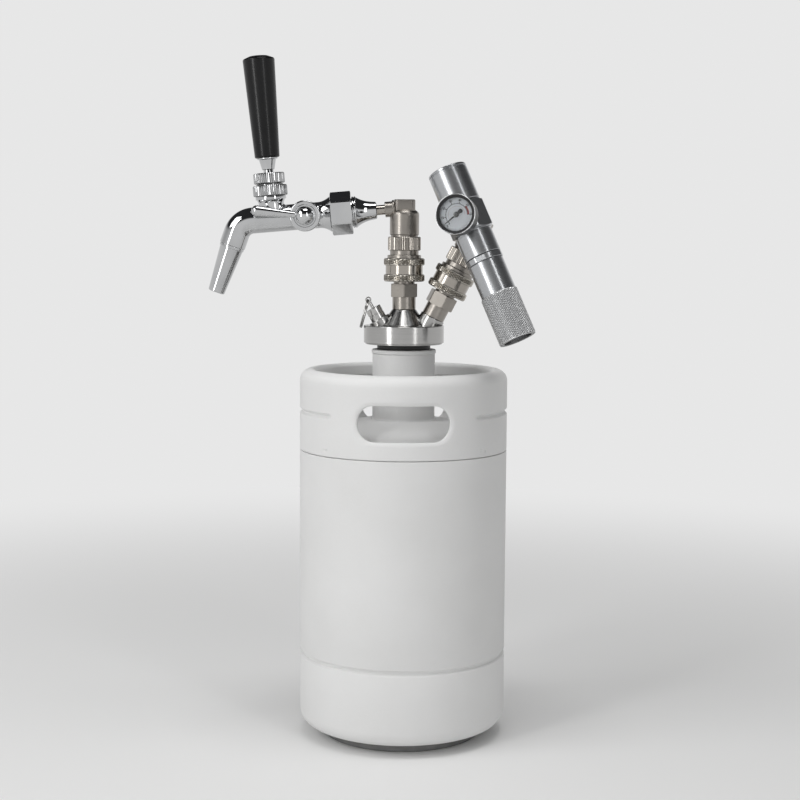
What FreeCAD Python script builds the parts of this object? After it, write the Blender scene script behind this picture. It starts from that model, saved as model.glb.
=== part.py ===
import FreeCAD, Part
import math
import os

# Mini keg beer dispenser: a steel keg with a rolled top ring, a tapping head in its neck, a
# flow-control tap on a quick disconnect, a relief valve, and a cartridge regulator with a gauge.
# Millimetres, +Z up, +X to the right of the front view, the front towards -Y.
# The origin is the middle of the base pad's underside.

# Keg
keg_radius = 84.0
keg_wall = 2.0
keg_bottom = 8.0
bottom_radius = 12.0
bottom_dish = 6.0
seam_height = 233.7
seam_gap = 0.6
roll_height = 68.2
roll_depth = 1.4
roll_half_width = 3.0
foot_radius = 65.0
foot_wall = 3.5
foot_floor = 3.0
foot_edge = 1.5

# Top ring with its hand holes
ring_wall = 2.2
ring_height = 64.8
rim_top = seam_height + ring_height
rim_outer_bend = 9.0
rim_inner_bend = 3.5
rim_lip_height = 10.5
rim_flat = 0.5
hole_width = 72.7
hole_height = 28.4
hole_rise = 28.3
hole_centre = seam_height + hole_rise
ring_roll_rise = 31.8
ring_roll_height = seam_height + ring_roll_rise
ring_roll_depth = 1.2
ring_roll_half_width = 2.6
ring_roll_start = 42.0
ring_roll_end = 138.0

# Shoulder dome and neck
dome_wall = 1.5
dome_fit = 0.1
dome_skirt = 8.0
dome_knuckle_height = 12.7
dome_knuckle_run = 11.7
dome_rise = 10.7
neck_radius = 25.25
neck_bore = 19.0
neck_above_rim = 15.9
neck_above_seam = 15.3
neck_top = rim_top + neck_above_rim
neck_bottom = seam_height + neck_above_seam
neck_fit = 0.05
bead_radius = 26.0
bead_height = 3.0
gasket_radius = 21.5
gasket_fit = 0.1

# Tapping head
head_radius = 32.4
gasket_thickness = 4.3
head_bottom = neck_top + gasket_thickness
head_height = 15.1
head_edge = 0.6
cone_base = 19.5
cone_top = 9.6
cone_height = 12.9
spigot_radius = 18.5
spigot_length = 24.0
spigot_bore = 13.0
tube_radius = 4.75
tube_wall = 0.8
tube_fit = 0.1
tube_foot_gap = 8.0
boss_depth = 14.0

# Relief valve on the left
relief_x = -20.2
relief_rise = 20.1
relief_z = head_bottom + relief_rise
relief_tilt = -29.6
relief_boss_radius = 8.7
relief_radius = 6.4
relief_length = 10.0
relief_hole = 0.85
relief_hole_height = 4.4
stem_radius = 1.3
stem_fit = 0.15
stem_depth = 8.0
eye_height = 7.6
eye_radius = 2.5
eye_hole = 1.45
pull_ring_radius = 11.5
pull_ring_wire = 0.65
pull_ring_lean = 15.0
pull_ring_pitch = 1.1

# Posts and quick disconnects, with heights above the face that the post stands on
post_neck_radius = 9.4
post_neck_height = 9.9
post_hex = 20.9
post_hex_height = 10.5
post_radius = 8.5
post_top = 45.0
post_bore = 3.4
post_groove = 0.6
lock_fit = 0.12
cup_bottom = 22.3
cup_radius = 13.6
sleeve_radius = 16.6
sleeve_waist = 15.0
sleeve_fit = 0.06
sleeve_flange = 5.8
sleeve_length = 18.7
sleeve_travel = 2.2
stop_gap = 0.3
ball_radius = 2.4
ball_height = 27.0
ball_count = 4
ball_fit = 0.1
shoulder_radius = 11.5
shoulder_length = 3.6
collar_radius = 13.2
collar_length = 11.0
collar_teeth = 44
tooth_depth = 0.45
waist_radius = 10.9
waist_length = 0.7
upper_radius = 11.8
upper_length = 15.9
upper_dome = 5.2
elbow_radius = 9.9
elbow_half_width = 8.6
elbow_half_depth = 7.8
elbow_height = 81.05
elbow_top = 87.8
outlet_radius = 6.2
outlet_reach = 15.8
flow_bore = 2.6

# Gas post on the right: where it stands and how it leans
gas_x = 23.3
gas_y = -1.9
gas_rise = 21.9
gas_z = head_bottom + gas_rise
gas_lean = 27.3
gas_turn = 3.5
gas_boss_radius = 10.2

# Tap: distances along its axis from the disconnect's axis, and radii
tap_droop = 5.0
link_radius = 4.0
link_end = 22.4
shank_start_radius = 7.0
shank_mid_radius = 8.4
shank_radius = 12.0
shank_taper_end = 38.6
shank_bead_radius = 12.7
shank_bead = 1.7
nut_start = 42.4
nut_length = 16.6
nut_across = 30.4
nut_bore = 11.4
nut_fit = 0.2
joint_gap = 0.3
body_cone_radius = 14.2
body_cone_end = 69.0
body_radius = 10.5
bend_corner = 132.1
bend_radius = 15.0
spout_angle = 19.5
spout_start = 20.5
spout_end = 60.0
spout_top_radius = 10.0
spout_tip_radius = 6.7
spout_wall = 1.4
spout_step = 0.6
tap_bore = 4.2
shuttle_bore = 6.0
shuttle_bore_start = 87.0
shuttle_fit = 0.08
seat_at = 119.8
shuttle_length = 18.0
seal_length = 2.2
seal_radius = 5.5
slot_fit = 0.25
slot_mouth = 2.0

# Handle stack, above the tap's axis
stack_at = 106.3
neck_flare_start = 10.6
neck_flare_end = 15.6
stack_boss_radius = 12.3
stack_boss_height = 18.3
stack_bore = 9.2
bonnet_radius = 13.8
bonnet_height = 8.4
bonnet_teeth = 40
bonnet_neck_radius = 10.8
bonnet_neck_height = 1.2
top_collar_radius = 12.5
top_collar_height = 8.3
top_collar_teeth = 36
pivot_height = 25.6
pivot_ball = 8.0
pivot_fit = 0.1
collar_mouth = 9.2
collar_throat = 6.9
lever_radius = 4.0
lever_foot_radius = 2.0
lever_tip_radius = 2.6
ferrule_height = 39.3
ferrule_length = 9.4
ferrule_low_radius = 5.0
ferrule_high_radius = 6.8
ferrule_flange = 8.2
ferrule_flange_height = 1.2
stud_length = 18.0
stud_fit = 0.05
handle_length = 80.6
handle_low_radius = 9.9
handle_high_radius = 12.75
handle_crown = 1.6
handle_edge = 1.2

# Flow control on the side of the tap
flow_at = 79.6
flow_hub_radius = 7.5
flow_hub_out = 17.6
flow_hub_fit = 0.4
flow_shaft_radius = 4.0
flow_shaft_fit = 0.08
flow_shaft_depth = 3.0
flow_boss_radius = 12.4
flow_boss_out = 11.2
side_ring_bore = 8.8
side_ring_height = 3.2
paddle_rise = 10.6
paddle_start = 6.0
paddle_length = 38.0
paddle_low_radius = 2.2
paddle_high_radius = 4.4

# Regulator: how it leans, and heights along its axis from the centre of its hexagon
reg_axis = (-0.379, 0.229, 0.897)
reg_reach = 38.1
reg_hex = 30.2
reg_hex_low = -10.7
reg_hex_high = 12.6
reg_hex_corner = 17.1
reg_neck_radius = 12.2
reg_neck_top = 34.0
reg_bore = 9.6
reg_bore_floor = 2.0
knob_radius = 15.5
knob_low = 13.4
knob_high = 43.6
knob_fit = 0.08
knob_roof = 3.0
piston_length = 5.0
piston_fit = 0.1
barrel_radius = 14.6
barrel_low = -31.0
groove_gap = 0.5
flats_radius = 14.6
flats_across = 27.8
flats_length = 4.6
pin_radius = 1.5
pin_length = 6.0
cap_radius = 14.0
cap_knurl_start = -62.8
cap_knurl_radius = 15.0
cap_low = -101.2
cap_bore = 11.4
cap_neck_radius = 10.4
cap_neck_length = 7.0
cartridge_radius = 9.1
cartridge_low = -97.0
cartridge_neck = 4.2
cartridge_top = -44.0
cartridge_shoulder = 6.4

# Gauge: distances out from the regulator's axis, and radii
gauge_face = 38.9
gauge_radius = 15.6
case_radius = 14.9
case_wall = 1.1
case_back = 24.4
case_front = 36.0
dial_out = 34.0
dial_thick = 0.6
needle_out = 35.1
needle_thick = 0.4
needle_length = 10.6
needle_tail = 5.2
needle_angle = 195.0
gauge_stem_radius = 4.6
gauge_stem_hex = 12.0
lens_thick = 1.4
bezel_lip = 13.4
bezel_bend = 1.0

up = FreeCAD.Vector(0, 0, 1)
tool_over = 20.0


def vec(x, y, z):
    return FreeCAD.Vector(x, y, z)


def save(name, shape):
    shape.exportStep("parts/%s.step" % name)


def outline(*items):
    """Closed outline in the XZ plane. An item is a point (r, z), or (mid, end) for an arc."""
    edges = []
    first = vec(items[0][0], 0, items[0][1])
    here = first
    for item in items[1:]:
        if isinstance(item[0], tuple):
            middle = vec(item[0][0], 0, item[0][1])
            there = vec(item[1][0], 0, item[1][1])
            edges.append(Part.Arc(here, middle, there).toShape())
        else:
            there = vec(item[0], 0, item[1])
            edges.append(Part.LineSegment(here, there).toShape())
        here = there
    if (here - first).Length > 1e-6:
        edges.append(Part.LineSegment(here, first).toShape())
    return Part.Face(Part.Wire(edges))


def turned(*items):
    """Solid of revolution about the Z axis from an outline in (r, z)."""
    return outline(*items).revolve(vec(0, 0, 0), up, 360)


def rod(radius, low, high):
    return Part.makeCylinder(radius, high - low, vec(0, 0, low))


def tube(outer, inner, low, high):
    return rod(outer, low, high).cut(rod(inner, low - 1, high + 1))


def cross_rod(radius, start, end):
    """Cylinder from one point to another."""
    return Part.makeCylinder(radius, (end - start).Length, start, end - start)


def hex_bar(across, low, high, turn=0.0):
    """Hexagonal bar along Z, with a flat towards -Y where turn is 0."""
    corner = across / math.sqrt(3)
    points = []
    for step in range(7):
        angle = math.radians(60 * step + turn)
        points.append(vec(corner * math.cos(angle), corner * math.sin(angle), low))
    return Part.Face(Part.makePolygon(points)).extrude(vec(0, 0, high - low))


def eased(shape, corner, low, high, ease):
    """Turns the corners of a bar's two ends to a cone, as on a machined hexagon."""
    cover = turned((0, low), (corner - ease, low), (corner, low + ease * 0.6),
                   (corner, high - ease * 0.6), (corner - ease, high), (0, high))
    return shape.common(cover)


def toothed(radius, depth, count, low, high, ease):
    """Straight-knurled ring blank: a star of count teeth, with eased ends."""
    points = []
    for step in range(2 * count + 1):
        reach = radius if step % 2 == 0 else radius - depth
        angle = math.pi * step / count
        points.append(vec(reach * math.cos(angle), reach * math.sin(angle), low))
    blank = Part.Face(Part.makePolygon(points)).extrude(vec(0, 0, high - low))
    return eased(blank, radius, low, high, ease)


def frame_at(origin, z_dir, x_hint):
    """Placement whose Z is z_dir and whose X is x_hint made square to it."""
    z = FreeCAD.Vector(z_dir).normalize()
    x = x_hint - z * x_hint.dot(z)
    x.normalize()
    y = z.cross(x)
    return FreeCAD.Placement(FreeCAD.Matrix(
        x.x, y.x, z.x, origin.x,
        x.y, y.y, z.y, origin.y,
        x.z, y.z, z.z, origin.z,
        0, 0, 0, 1))


def placed(shape, placement):
    return shape.transformed(placement.toMatrix(), False)


def cap_middle(half_width, crown, top):
    """Point halfway out on a round cap that is level at the axis."""
    ball = (half_width ** 2 + crown ** 2) / (2 * crown)
    return (half_width / 2, top - ball + math.sqrt(ball ** 2 - half_width ** 2 / 4))


def arc_point(centre_r, centre_z, radius, degrees):
    angle = math.radians(degrees)
    return (centre_r + radius * math.cos(angle), centre_z + radius * math.sin(angle))


# Keg body: drawn cylinder and bottom, one shell of even wall
def keg_body():
    top = seam_height - seam_gap / 2
    inner = keg_radius - keg_wall
    bend = keg_radius - bottom_radius
    bend_z = keg_bottom + bottom_radius
    dish_r = foot_radius - 6.0
    floor = keg_bottom + keg_wall
    small = bottom_radius - keg_wall
    return turned(
        (0, keg_bottom + bottom_dish),
        (cap_middle(dish_r, bottom_dish, keg_bottom + bottom_dish), (dish_r, keg_bottom)),
        (bend, keg_bottom),
        (arc_point(bend, bend_z, bottom_radius, -45), (keg_radius, bend_z)),
        (keg_radius, roll_height - roll_half_width),
        ((keg_radius - roll_depth, roll_height), (keg_radius, roll_height + roll_half_width)),
        (keg_radius, top),
        (inner, top),
        (inner, roll_height + roll_half_width),
        ((inner - roll_depth, roll_height), (inner, roll_height - roll_half_width)),
        (inner, bend_z),
        (arc_point(bend, bend_z, small, -45), (bend, floor)),
        (dish_r, floor),
        (cap_middle(dish_r, bottom_dish, floor + bottom_dish), (0, floor + bottom_dish)))


# Base pad: moulded rubber dish glued under the bottom, closed below
def base_pad():
    inner = foot_radius - foot_wall
    centre = foot_radius - foot_edge
    return turned(
        (0, 0),
        (centre, 0),
        (arc_point(centre, foot_edge, foot_edge, -45), (foot_radius, foot_edge)),
        (foot_radius, keg_bottom),
        (inner, keg_bottom),
        (inner, foot_floor),
        (0, foot_floor))


def stadium(width, height, depth_from, depth_to):
    """Slot with round ends, through along Y."""
    half = (width - height) / 2
    radius = height / 2
    low = vec(-half, depth_from, -radius)
    right = Part.Arc(vec(half, depth_from, -radius), vec(half + radius, depth_from, 0),
                     vec(half, depth_from, radius)).toShape()
    left = Part.Arc(vec(-half, depth_from, radius), vec(-half - radius, depth_from, 0), low).toShape()
    under = Part.LineSegment(low, vec(half, depth_from, -radius)).toShape()
    over = Part.LineSegment(vec(half, depth_from, radius), vec(-half, depth_from, radius)).toShape()
    face = Part.Face(Part.Wire([under, right, over, left]))
    return face.extrude(vec(0, depth_to - depth_from, 0))


# Top ring: strip with a rolled rim, a hand hole at the front and the back, and a rolled groove
def top_ring():
    low = seam_height + seam_gap / 2
    inner = keg_radius - ring_wall
    outer_centre = keg_radius - rim_outer_bend
    outer_z = rim_top - rim_outer_bend
    inner_centre = outer_centre - rim_flat
    inner_z = rim_top - rim_inner_bend
    lip = inner_centre - rim_inner_bend
    lip_end = rim_top - rim_lip_height
    under = rim_top - ring_wall
    ring = turned(
        (keg_radius, low),
        (keg_radius, outer_z),
        (arc_point(outer_centre, outer_z, rim_outer_bend, 45), (outer_centre, rim_top)),
        (inner_centre, rim_top),
        (arc_point(inner_centre, inner_z, rim_inner_bend, 135), (lip, inner_z)),
        (lip, lip_end),
        (lip + ring_wall, lip_end),
        (lip + ring_wall, inner_z),
        (arc_point(inner_centre, inner_z, rim_inner_bend - ring_wall, 135), (inner_centre, under)),
        (outer_centre, under),
        (arc_point(outer_centre, outer_z, rim_outer_bend - ring_wall, 45), (inner, outer_z)),
        (inner, low))
    reach = keg_radius + tool_over
    slot = stadium(hole_width, hole_height, -reach, reach)
    slot.translate(vec(0, 0, hole_centre))
    ring = ring.cut(slot)
    half = ring_roll_half_width
    roll = outline(
        (keg_radius + half, ring_roll_height - half),
        (keg_radius, ring_roll_height - half),
        ((keg_radius - ring_roll_depth, ring_roll_height), (keg_radius, ring_roll_height + half)),
        (keg_radius + half, ring_roll_height + half))
    sweep = ring_roll_end - ring_roll_start
    for start in (ring_roll_start - 90, ring_roll_start + 90):
        groove = roll.copy()
        groove.rotate(vec(0, 0, 0), up, start)
        ring = ring.cut(groove.revolve(vec(0, 0, 0), up, sweep))
    return ring


# Shoulder dome: dished plate with a knuckle and a skirt that laps inside body and ring
def keg_dome():
    outer = keg_radius - ring_wall - dome_fit
    skirt_top = seam_height + 0.5
    crown_z = skirt_top + dome_knuckle_height
    crown_r = outer - dome_knuckle_run
    hole = neck_radius + neck_fit
    crown_mid = (hole + crown_r) / 2
    high = crown_z + dome_rise
    sag = dome_rise * 0.72
    wall = dome_wall
    return turned(
        (hole, high),
        ((crown_mid, crown_z + sag), (crown_r, crown_z)),
        ((crown_r + dome_knuckle_run * 0.77, crown_z - dome_knuckle_height * 0.36), (outer, skirt_top)),
        (outer, seam_height - dome_skirt),
        (outer - wall, seam_height - dome_skirt),
        (outer - wall, skirt_top),
        ((crown_r + dome_knuckle_run * 0.77 - wall * 0.75, crown_z - dome_knuckle_height * 0.36 - wall * 0.7),
         (crown_r - wall * 0.2, crown_z - wall)),
        ((crown_mid, crown_z + sag - wall), (hole, high - wall)))


# Neck: welded socket with an inside thread and a rolled bead at its mouth
def keg_neck():
    bead_low = neck_top - bead_height
    step = bead_radius - neck_radius
    return turned(
        (neck_bore, neck_bottom),
        (neck_radius, neck_bottom),
        (neck_radius, bead_low),
        (bead_radius, bead_low + step),
        (bead_radius, neck_top - step),
        (bead_radius - step, neck_top),
        (neck_bore, neck_top))


def neck_gasket():
    return tube(gasket_radius, spigot_radius + gasket_fit, neck_top, head_bottom)


def tilted(degrees, turn=0.0):
    """Unit vector that leans from +Z towards +X, and is then turned about Z."""
    lean = math.radians(degrees)
    around = math.radians(turn)
    return vec(math.sin(lean) * math.cos(around), -math.sin(lean) * math.sin(around), math.cos(lean))


relief_dir = tilted(relief_tilt)
relief_foot = vec(relief_x, 0, relief_z)
gas_dir = tilted(gas_lean, gas_turn)
gas_foot = vec(gas_x, gas_y, gas_z)
head_top = head_bottom + head_height
liquid_foot = vec(0, 0, head_top + cone_height)
tap_height = liquid_foot.z + elbow_height
keg_inside = keg_bottom + keg_wall + bottom_dish


# Tapping head: turned puck with a cone and two slanting bosses, on a spigot that fills the neck
def tapping_head():
    spigot_low = head_bottom - spigot_length
    roof = head_bottom - 4.0
    head = turned(
        (spigot_bore, spigot_low),
        (spigot_radius, spigot_low),
        (spigot_radius, head_bottom),
        (head_radius - head_edge, head_bottom),
        (head_radius, head_bottom + head_edge),
        (head_radius, head_top - head_edge),
        (head_radius - head_edge, head_top),
        (cone_base, head_top),
        (cone_top, head_top + cone_height),
        (0, head_top + cone_height),
        (0, roof),
        (spigot_bore, roof))
    for foot, lean, radius in ((relief_foot, relief_dir, relief_boss_radius),
                               (gas_foot, gas_dir, gas_boss_radius)):
        head = head.fuse(cross_rod(radius, foot - lean * boss_depth, foot))
    bores = rod(tube_radius + tube_fit, roof - 1, liquid_foot.z + 1)
    gas_way = cross_rod(post_bore, gas_foot - gas_dir * (boss_depth + 12.0), gas_foot + gas_dir)
    relief_way = cross_rod(stem_radius + 1.0, relief_foot - relief_dir * (boss_depth + 9.0),
                           relief_foot + relief_dir)
    return head.cut(bores).cut(gas_way).cut(relief_way).removeSplitter()


def dip_tube():
    return tube(tube_radius, tube_radius - tube_wall, keg_inside + tube_foot_gap, liquid_foot.z - 0.5)


# Relief valve
relief_frame = frame_at(relief_foot, relief_dir, vec(1, 0, 0))


def relief_body():
    ease = 0.5
    body = turned(
        (stem_radius + stem_fit, 0),
        (relief_radius, 0),
        (relief_radius, relief_length - ease),
        (relief_radius - ease, relief_length),
        (stem_radius + stem_fit, relief_length))
    hole = Part.makeCylinder(relief_hole, relief_radius * 2, vec(0, 0, relief_hole_height),
                             vec(-0.63, -0.78, 0))
    return placed(body.cut(hole), relief_frame)


def relief_stem():
    eye = relief_length + eye_height
    stem = rod(stem_radius, -stem_depth, eye - eye_radius * 0.6)
    disc = Part.makeCylinder(eye_radius, 2 * stem_radius, vec(0, -stem_radius, eye), vec(0, 1, 0))
    hole = Part.makeCylinder(eye_hole, 4 * stem_radius, vec(0, -2 * stem_radius, eye), vec(0, 1, 0))
    return placed(stem.fuse(disc).cut(hole).removeSplitter(), relief_frame)


eye_point = relief_foot + relief_dir * (relief_length + eye_height)


# Pull ring: split ring of two turns of wire through the stem's eye
def relief_ring():
    lean = math.radians(pull_ring_lean)
    hang = vec(-math.sin(lean), 0, -math.cos(lean))
    across = vec(math.cos(lean), 0, -math.sin(lean))
    centre = eye_point + hang * pull_ring_radius
    step = across * (pull_ring_pitch / 2)
    inner = Part.makeTorus(pull_ring_radius, pull_ring_wire, centre + step, across)
    return inner.fuse(Part.makeTorus(pull_ring_radius, pull_ring_wire, centre - step, across))


# Post: neck and hexagon, then the plug that the disconnect slides over
def post():
    hex_top = post_neck_height + post_hex_height
    neck = rod(post_neck_radius, 0, post_neck_height)
    corner = post_hex / math.sqrt(3)
    nut = eased(hex_bar(post_hex, post_neck_height, hex_top, 30), corner, post_neck_height, hex_top, 0.9)
    plug = turned(
        (0, hex_top),
        (post_radius, hex_top),
        (post_radius, ball_height - ball_radius),
        ((post_radius - post_groove, ball_height), (post_radius, ball_height + ball_radius)),
        (post_radius, post_top - 1.5),
        (post_radius - 1.5, post_top),
        (0, post_top))
    return neck.fuse(nut).fuse(plug).cut(rod(post_bore, -1, post_top + 1)).removeSplitter()


# Disconnect: ball cup, straight-knurled collar, upper body and elbow with its side outlet
def disconnect(outlet):
    stop = cup_bottom + sleeve_length + sleeve_travel + stop_gap
    collar_low = stop + shoulder_length
    collar_high = collar_low + collar_length
    upper_low = collar_high + waist_length
    upper_high = upper_low + upper_length
    dome_high = upper_high + upper_dome
    bore = post_radius + lock_fit
    body = turned(
        (0, post_top + 0.5),
        (bore, post_top + 0.5),
        (bore, cup_bottom),
        (cup_radius, cup_bottom),
        (cup_radius, stop),
        (shoulder_radius, stop),
        (shoulder_radius, collar_low),
        (waist_radius, collar_low),
        (waist_radius, upper_low),
        (upper_radius, upper_low),
        (upper_radius, upper_high),
        ((upper_radius - upper_dome * 0.2, upper_high + upper_dome * 0.6), (elbow_half_depth, dome_high)),
        (0, dome_high))
    collar = toothed(collar_radius, tooth_depth, collar_teeth, collar_low, collar_high, 0.5)
    block = rod(elbow_radius, upper_high - 1, elbow_top).common(Part.makeBox(
        2 * elbow_half_width, 2 * elbow_half_depth, elbow_top,
        vec(-elbow_half_width, -elbow_half_depth, 0)))
    middle = vec(0, 0, elbow_height)
    spigot = cross_rod(outlet_radius, middle, middle + outlet * outlet_reach)
    body = body.fuse(collar).fuse(block).fuse(spigot)
    body = body.cut(rod(flow_bore, post_top - 1, elbow_height))
    body = body.cut(cross_rod(flow_bore, middle, middle + outlet * tool_over))
    for step in range(ball_count):
        angle = 2 * math.pi * (step + 0.5) / ball_count
        side = vec(math.cos(angle), math.sin(angle), 0)
        start = vec(0, 0, ball_height)
        body = body.cut(cross_rod(ball_radius + ball_fit, start + side * 2.0, start + side * tool_over))
    return body.removeSplitter()


# Lock sleeve: two rims and a waist, which slides up on the cup to let the balls out
def lock_sleeve():
    bore = cup_radius + sleeve_fit
    top = cup_bottom + sleeve_length
    low_rim = cup_bottom + sleeve_flange
    high_rim = top - sleeve_flange
    ease = 0.7
    return turned(
        (bore, cup_bottom),
        (sleeve_radius - ease, cup_bottom),
        (sleeve_radius, cup_bottom + ease),
        (sleeve_radius, low_rim - ease),
        (sleeve_radius - ease, low_rim),
        (sleeve_waist, low_rim),
        (sleeve_waist, high_rim),
        (sleeve_radius - ease, high_rim),
        (sleeve_radius, high_rim + ease),
        (sleeve_radius, top - ease),
        (sleeve_radius - ease, top),
        (bore, top))


def lock_balls():
    out = post_radius + lock_fit + ball_radius
    balls = []
    for step in range(ball_count):
        angle = 2 * math.pi * (step + 0.5) / ball_count
        centre = vec(out * math.cos(angle), out * math.sin(angle), ball_height)
        balls.append(Part.makeSphere(ball_radius, centre))
    return Part.makeCompound(balls)


droop = math.radians(tap_droop)
tap_dir = vec(-math.cos(droop), 0, -math.sin(droop))
tap_up = vec(-math.sin(droop), 0, math.cos(droop))
tap_origin = vec(0, 0, tap_height)
tap_frame = frame_at(tap_origin, tap_dir, tap_up)
stack_frame = frame_at(tap_origin + tap_dir * stack_at, tap_up, tap_dir * -1)
liquid_frame = frame_at(liquid_foot, up, vec(1, 0, 0))


# Tail of the tap: thin link tube from the disconnect to the shank
def tail_link():
    return placed(tube(link_radius, flow_bore, outlet_reach, link_end), tap_frame)


# Shank: hollow trumpet with two beads, and a plug inside the coupling nut
def tap_shank():
    bead = shank_bead
    first = shank_taper_end
    bead_end = first + 2 * bead
    plug = nut_bore - nut_fit
    middle = (link_end + first) / 2
    inside_end = nut_start + nut_length / 2 - joint_gap
    return placed(turned(
        (flow_bore, link_end),
        (shank_start_radius, link_end),
        ((shank_mid_radius, middle), (shank_radius, first)),
        ((shank_bead_radius, first + bead / 2), (shank_radius, first + bead)),
        ((shank_bead_radius, first + 1.5 * bead), (shank_radius, bead_end)),
        (plug, bead_end),
        (plug, inside_end),
        (flow_bore, inside_end)), tap_frame)


def coupling_nut():
    end = nut_start + nut_length
    corner = nut_across / math.sqrt(3)
    nut = eased(hex_bar(nut_across, nut_start, end, 0), corner, nut_start, end, 1.0)
    return placed(nut.cut(rod(nut_bore, nut_start - 1, end + 1)), tap_frame)


turn_angle = 90.0 - tap_droop - spout_angle
corner_cut = bend_radius * math.tan(math.radians(turn_angle / 2))
spout_lean = math.radians(spout_angle)
spout_dir = vec(-math.sin(spout_lean), 0, -math.cos(spout_lean))
corner_point = tap_origin + tap_dir * bend_corner
spout_frame = frame_at(corner_point, spout_dir, vec(1, 0, 0))


def bent_rod(radius, start, end):
    """Round bar along the tap's axis from start, round its bend, to end below the corner."""
    side = math.asin(1.0) - math.radians(turn_angle) / 2
    begin = tap_origin + tap_dir * (bend_corner - corner_cut)
    finish = corner_point + spout_dir * corner_cut
    inward = ((tap_dir * -1) + spout_dir).normalize()
    centre = corner_point + inward * (bend_radius / math.sin(side))
    middle = centre - inward * bend_radius
    path = Part.Wire([
        Part.LineSegment(tap_origin + tap_dir * start, begin).toShape(),
        Part.Arc(begin, middle, finish).toShape(),
        Part.LineSegment(finish, corner_point + spout_dir * end).toShape()])
    section = Part.Wire([Part.makeCircle(radius, tap_origin + tap_dir * start, tap_dir)])
    return path.makePipeShell([section], True, False)


# Faucet body: cone, barrel, bend and the boss that the bonnet screws on, all bored through
def faucet_body():
    spigot_start = nut_start + nut_length / 2
    cone_start = nut_start + nut_length + joint_gap
    rear = turned(
        (0, spigot_start),
        (nut_bore - nut_fit, spigot_start),
        (nut_bore - nut_fit, cone_start),
        (body_cone_radius, cone_start),
        ((body_radius + 1.4, (cone_start + body_cone_end) / 2), (body_radius, body_cone_end)),
        (body_radius, body_cone_end + 2.0),
        (0, body_cone_end + 2.0))
    body = placed(rear, tap_frame).fuse(bent_rod(body_radius, body_cone_end, spout_start))
    boss = turned(
        (0, 0),
        (body_radius - 0.3, 0),
        (body_radius - 0.3, neck_flare_start),
        ((body_radius + 0.4, (neck_flare_start + neck_flare_end) / 2), (stack_boss_radius, neck_flare_end)),
        (stack_boss_radius, stack_boss_height),
        (0, stack_boss_height))
    body = body.fuse(placed(boss, stack_frame))
    flow_centre = tap_origin + tap_dir * flow_at
    out = vec(0, -1, 0)
    body = body.fuse(cross_rod(flow_boss_radius, flow_centre, flow_centre + out * flow_boss_out))
    body = body.cut(bent_rod(tap_bore, spigot_start - 5.0, spout_start + 5.0))
    body = body.cut(placed(rod(shuttle_bore, shuttle_bore_start, seat_at), tap_frame))
    body = body.cut(placed(rod(stack_bore, 0, stack_boss_height + 5.0), stack_frame))
    shaft_end = flow_centre - out * (flow_shaft_depth + 0.5)
    body = body.cut(cross_rod(flow_shaft_radius + flow_shaft_fit, shaft_end, flow_centre + out * tool_over))
    hub = flow_centre + out * flow_hub_out
    body = body.cut(Part.makeSphere(flow_hub_radius + flow_hub_fit, hub))
    return body.removeSplitter()


def spout():
    start = spout_start + 0.05
    step_end = start + 2.0
    tip = spout_end
    return placed(turned(
        (tap_bore + 0.3, start),
        (spout_top_radius, start),
        (spout_top_radius, step_end),
        (spout_top_radius - spout_step, step_end),
        (spout_tip_radius, tip - 0.6),
        (spout_tip_radius - 0.5, tip),
        (spout_tip_radius - spout_wall, tip),
        (tap_bore + 0.3, start + 12.0)), spout_frame)


def side_frame():
    centre = tap_origin + tap_dir * flow_at
    return frame_at(centre, vec(0, -1, 0), tap_dir)


# Side ring: polished nut round the flow-control hub
def side_ring():
    low = flow_boss_out + 0.2
    high = low + side_ring_height
    return placed(turned(
        (side_ring_bore, low),
        (flow_boss_radius, low),
        (flow_boss_radius, high - 2.0),
        (arc_point(flow_boss_radius - 2.0, high - 2.0, 2.0, 45), (flow_boss_radius - 2.0, high)),
        (side_ring_bore, high)), side_frame())


# Flow lever: ball hub on a cross shaft, with a paddle that thickens to a round end
def flow_lever():
    hub = Part.makeSphere(flow_hub_radius, vec(0, 0, flow_hub_out))
    shaft = rod(flow_shaft_radius, -flow_shaft_depth, flow_hub_out)
    paddle = Part.makeCone(paddle_low_radius, paddle_high_radius, paddle_length - paddle_start,
                           vec(paddle_start, 0, 0), vec(1, 0, 0))
    tip = Part.makeSphere(paddle_high_radius, vec(paddle_length, 0, 0))
    arm = paddle.fuse(tip)
    arm.rotate(vec(0, 0, 0), up, -paddle_rise)
    arm.translate(vec(0, 0, flow_hub_out))
    return placed(hub.fuse(shaft).fuse(arm).removeSplitter(), side_frame())


# Bonnet: knurled ring screwed on the boss, with the socket for the lever's ball
def bonnet():
    low = stack_boss_height + 0.05
    high = low + bonnet_height
    ring = toothed(bonnet_radius, tooth_depth, bonnet_teeth, low, high, 0.6)
    ring = ring.fuse(rod(bonnet_neck_radius, high - 1, high + bonnet_neck_height))
    ring = ring.cut(rod(pivot_ball + pivot_fit, low - 1, high + tool_over))
    return placed(ring.removeSplitter(), stack_frame)


stack_collar_low = stack_boss_height + bonnet_height + bonnet_neck_height + 0.3


# Top collar: second knurled ring that closes the socket over the ball
def top_collar():
    low = stack_collar_low
    high = low + top_collar_height
    ring = toothed(top_collar_radius, tooth_depth, top_collar_teeth, low, high, 0.6)
    ring = ring.cut(Part.makeSphere(pivot_ball + pivot_fit, vec(0, 0, pivot_height)))
    mouth = turned(
        (0, low + 2.0),
        (collar_throat, low + 2.0),
        (collar_mouth, high),
        (collar_mouth, high + 1),
        (0, high + 1))
    return placed(ring.cut(mouth).removeSplitter(), stack_frame)


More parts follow.
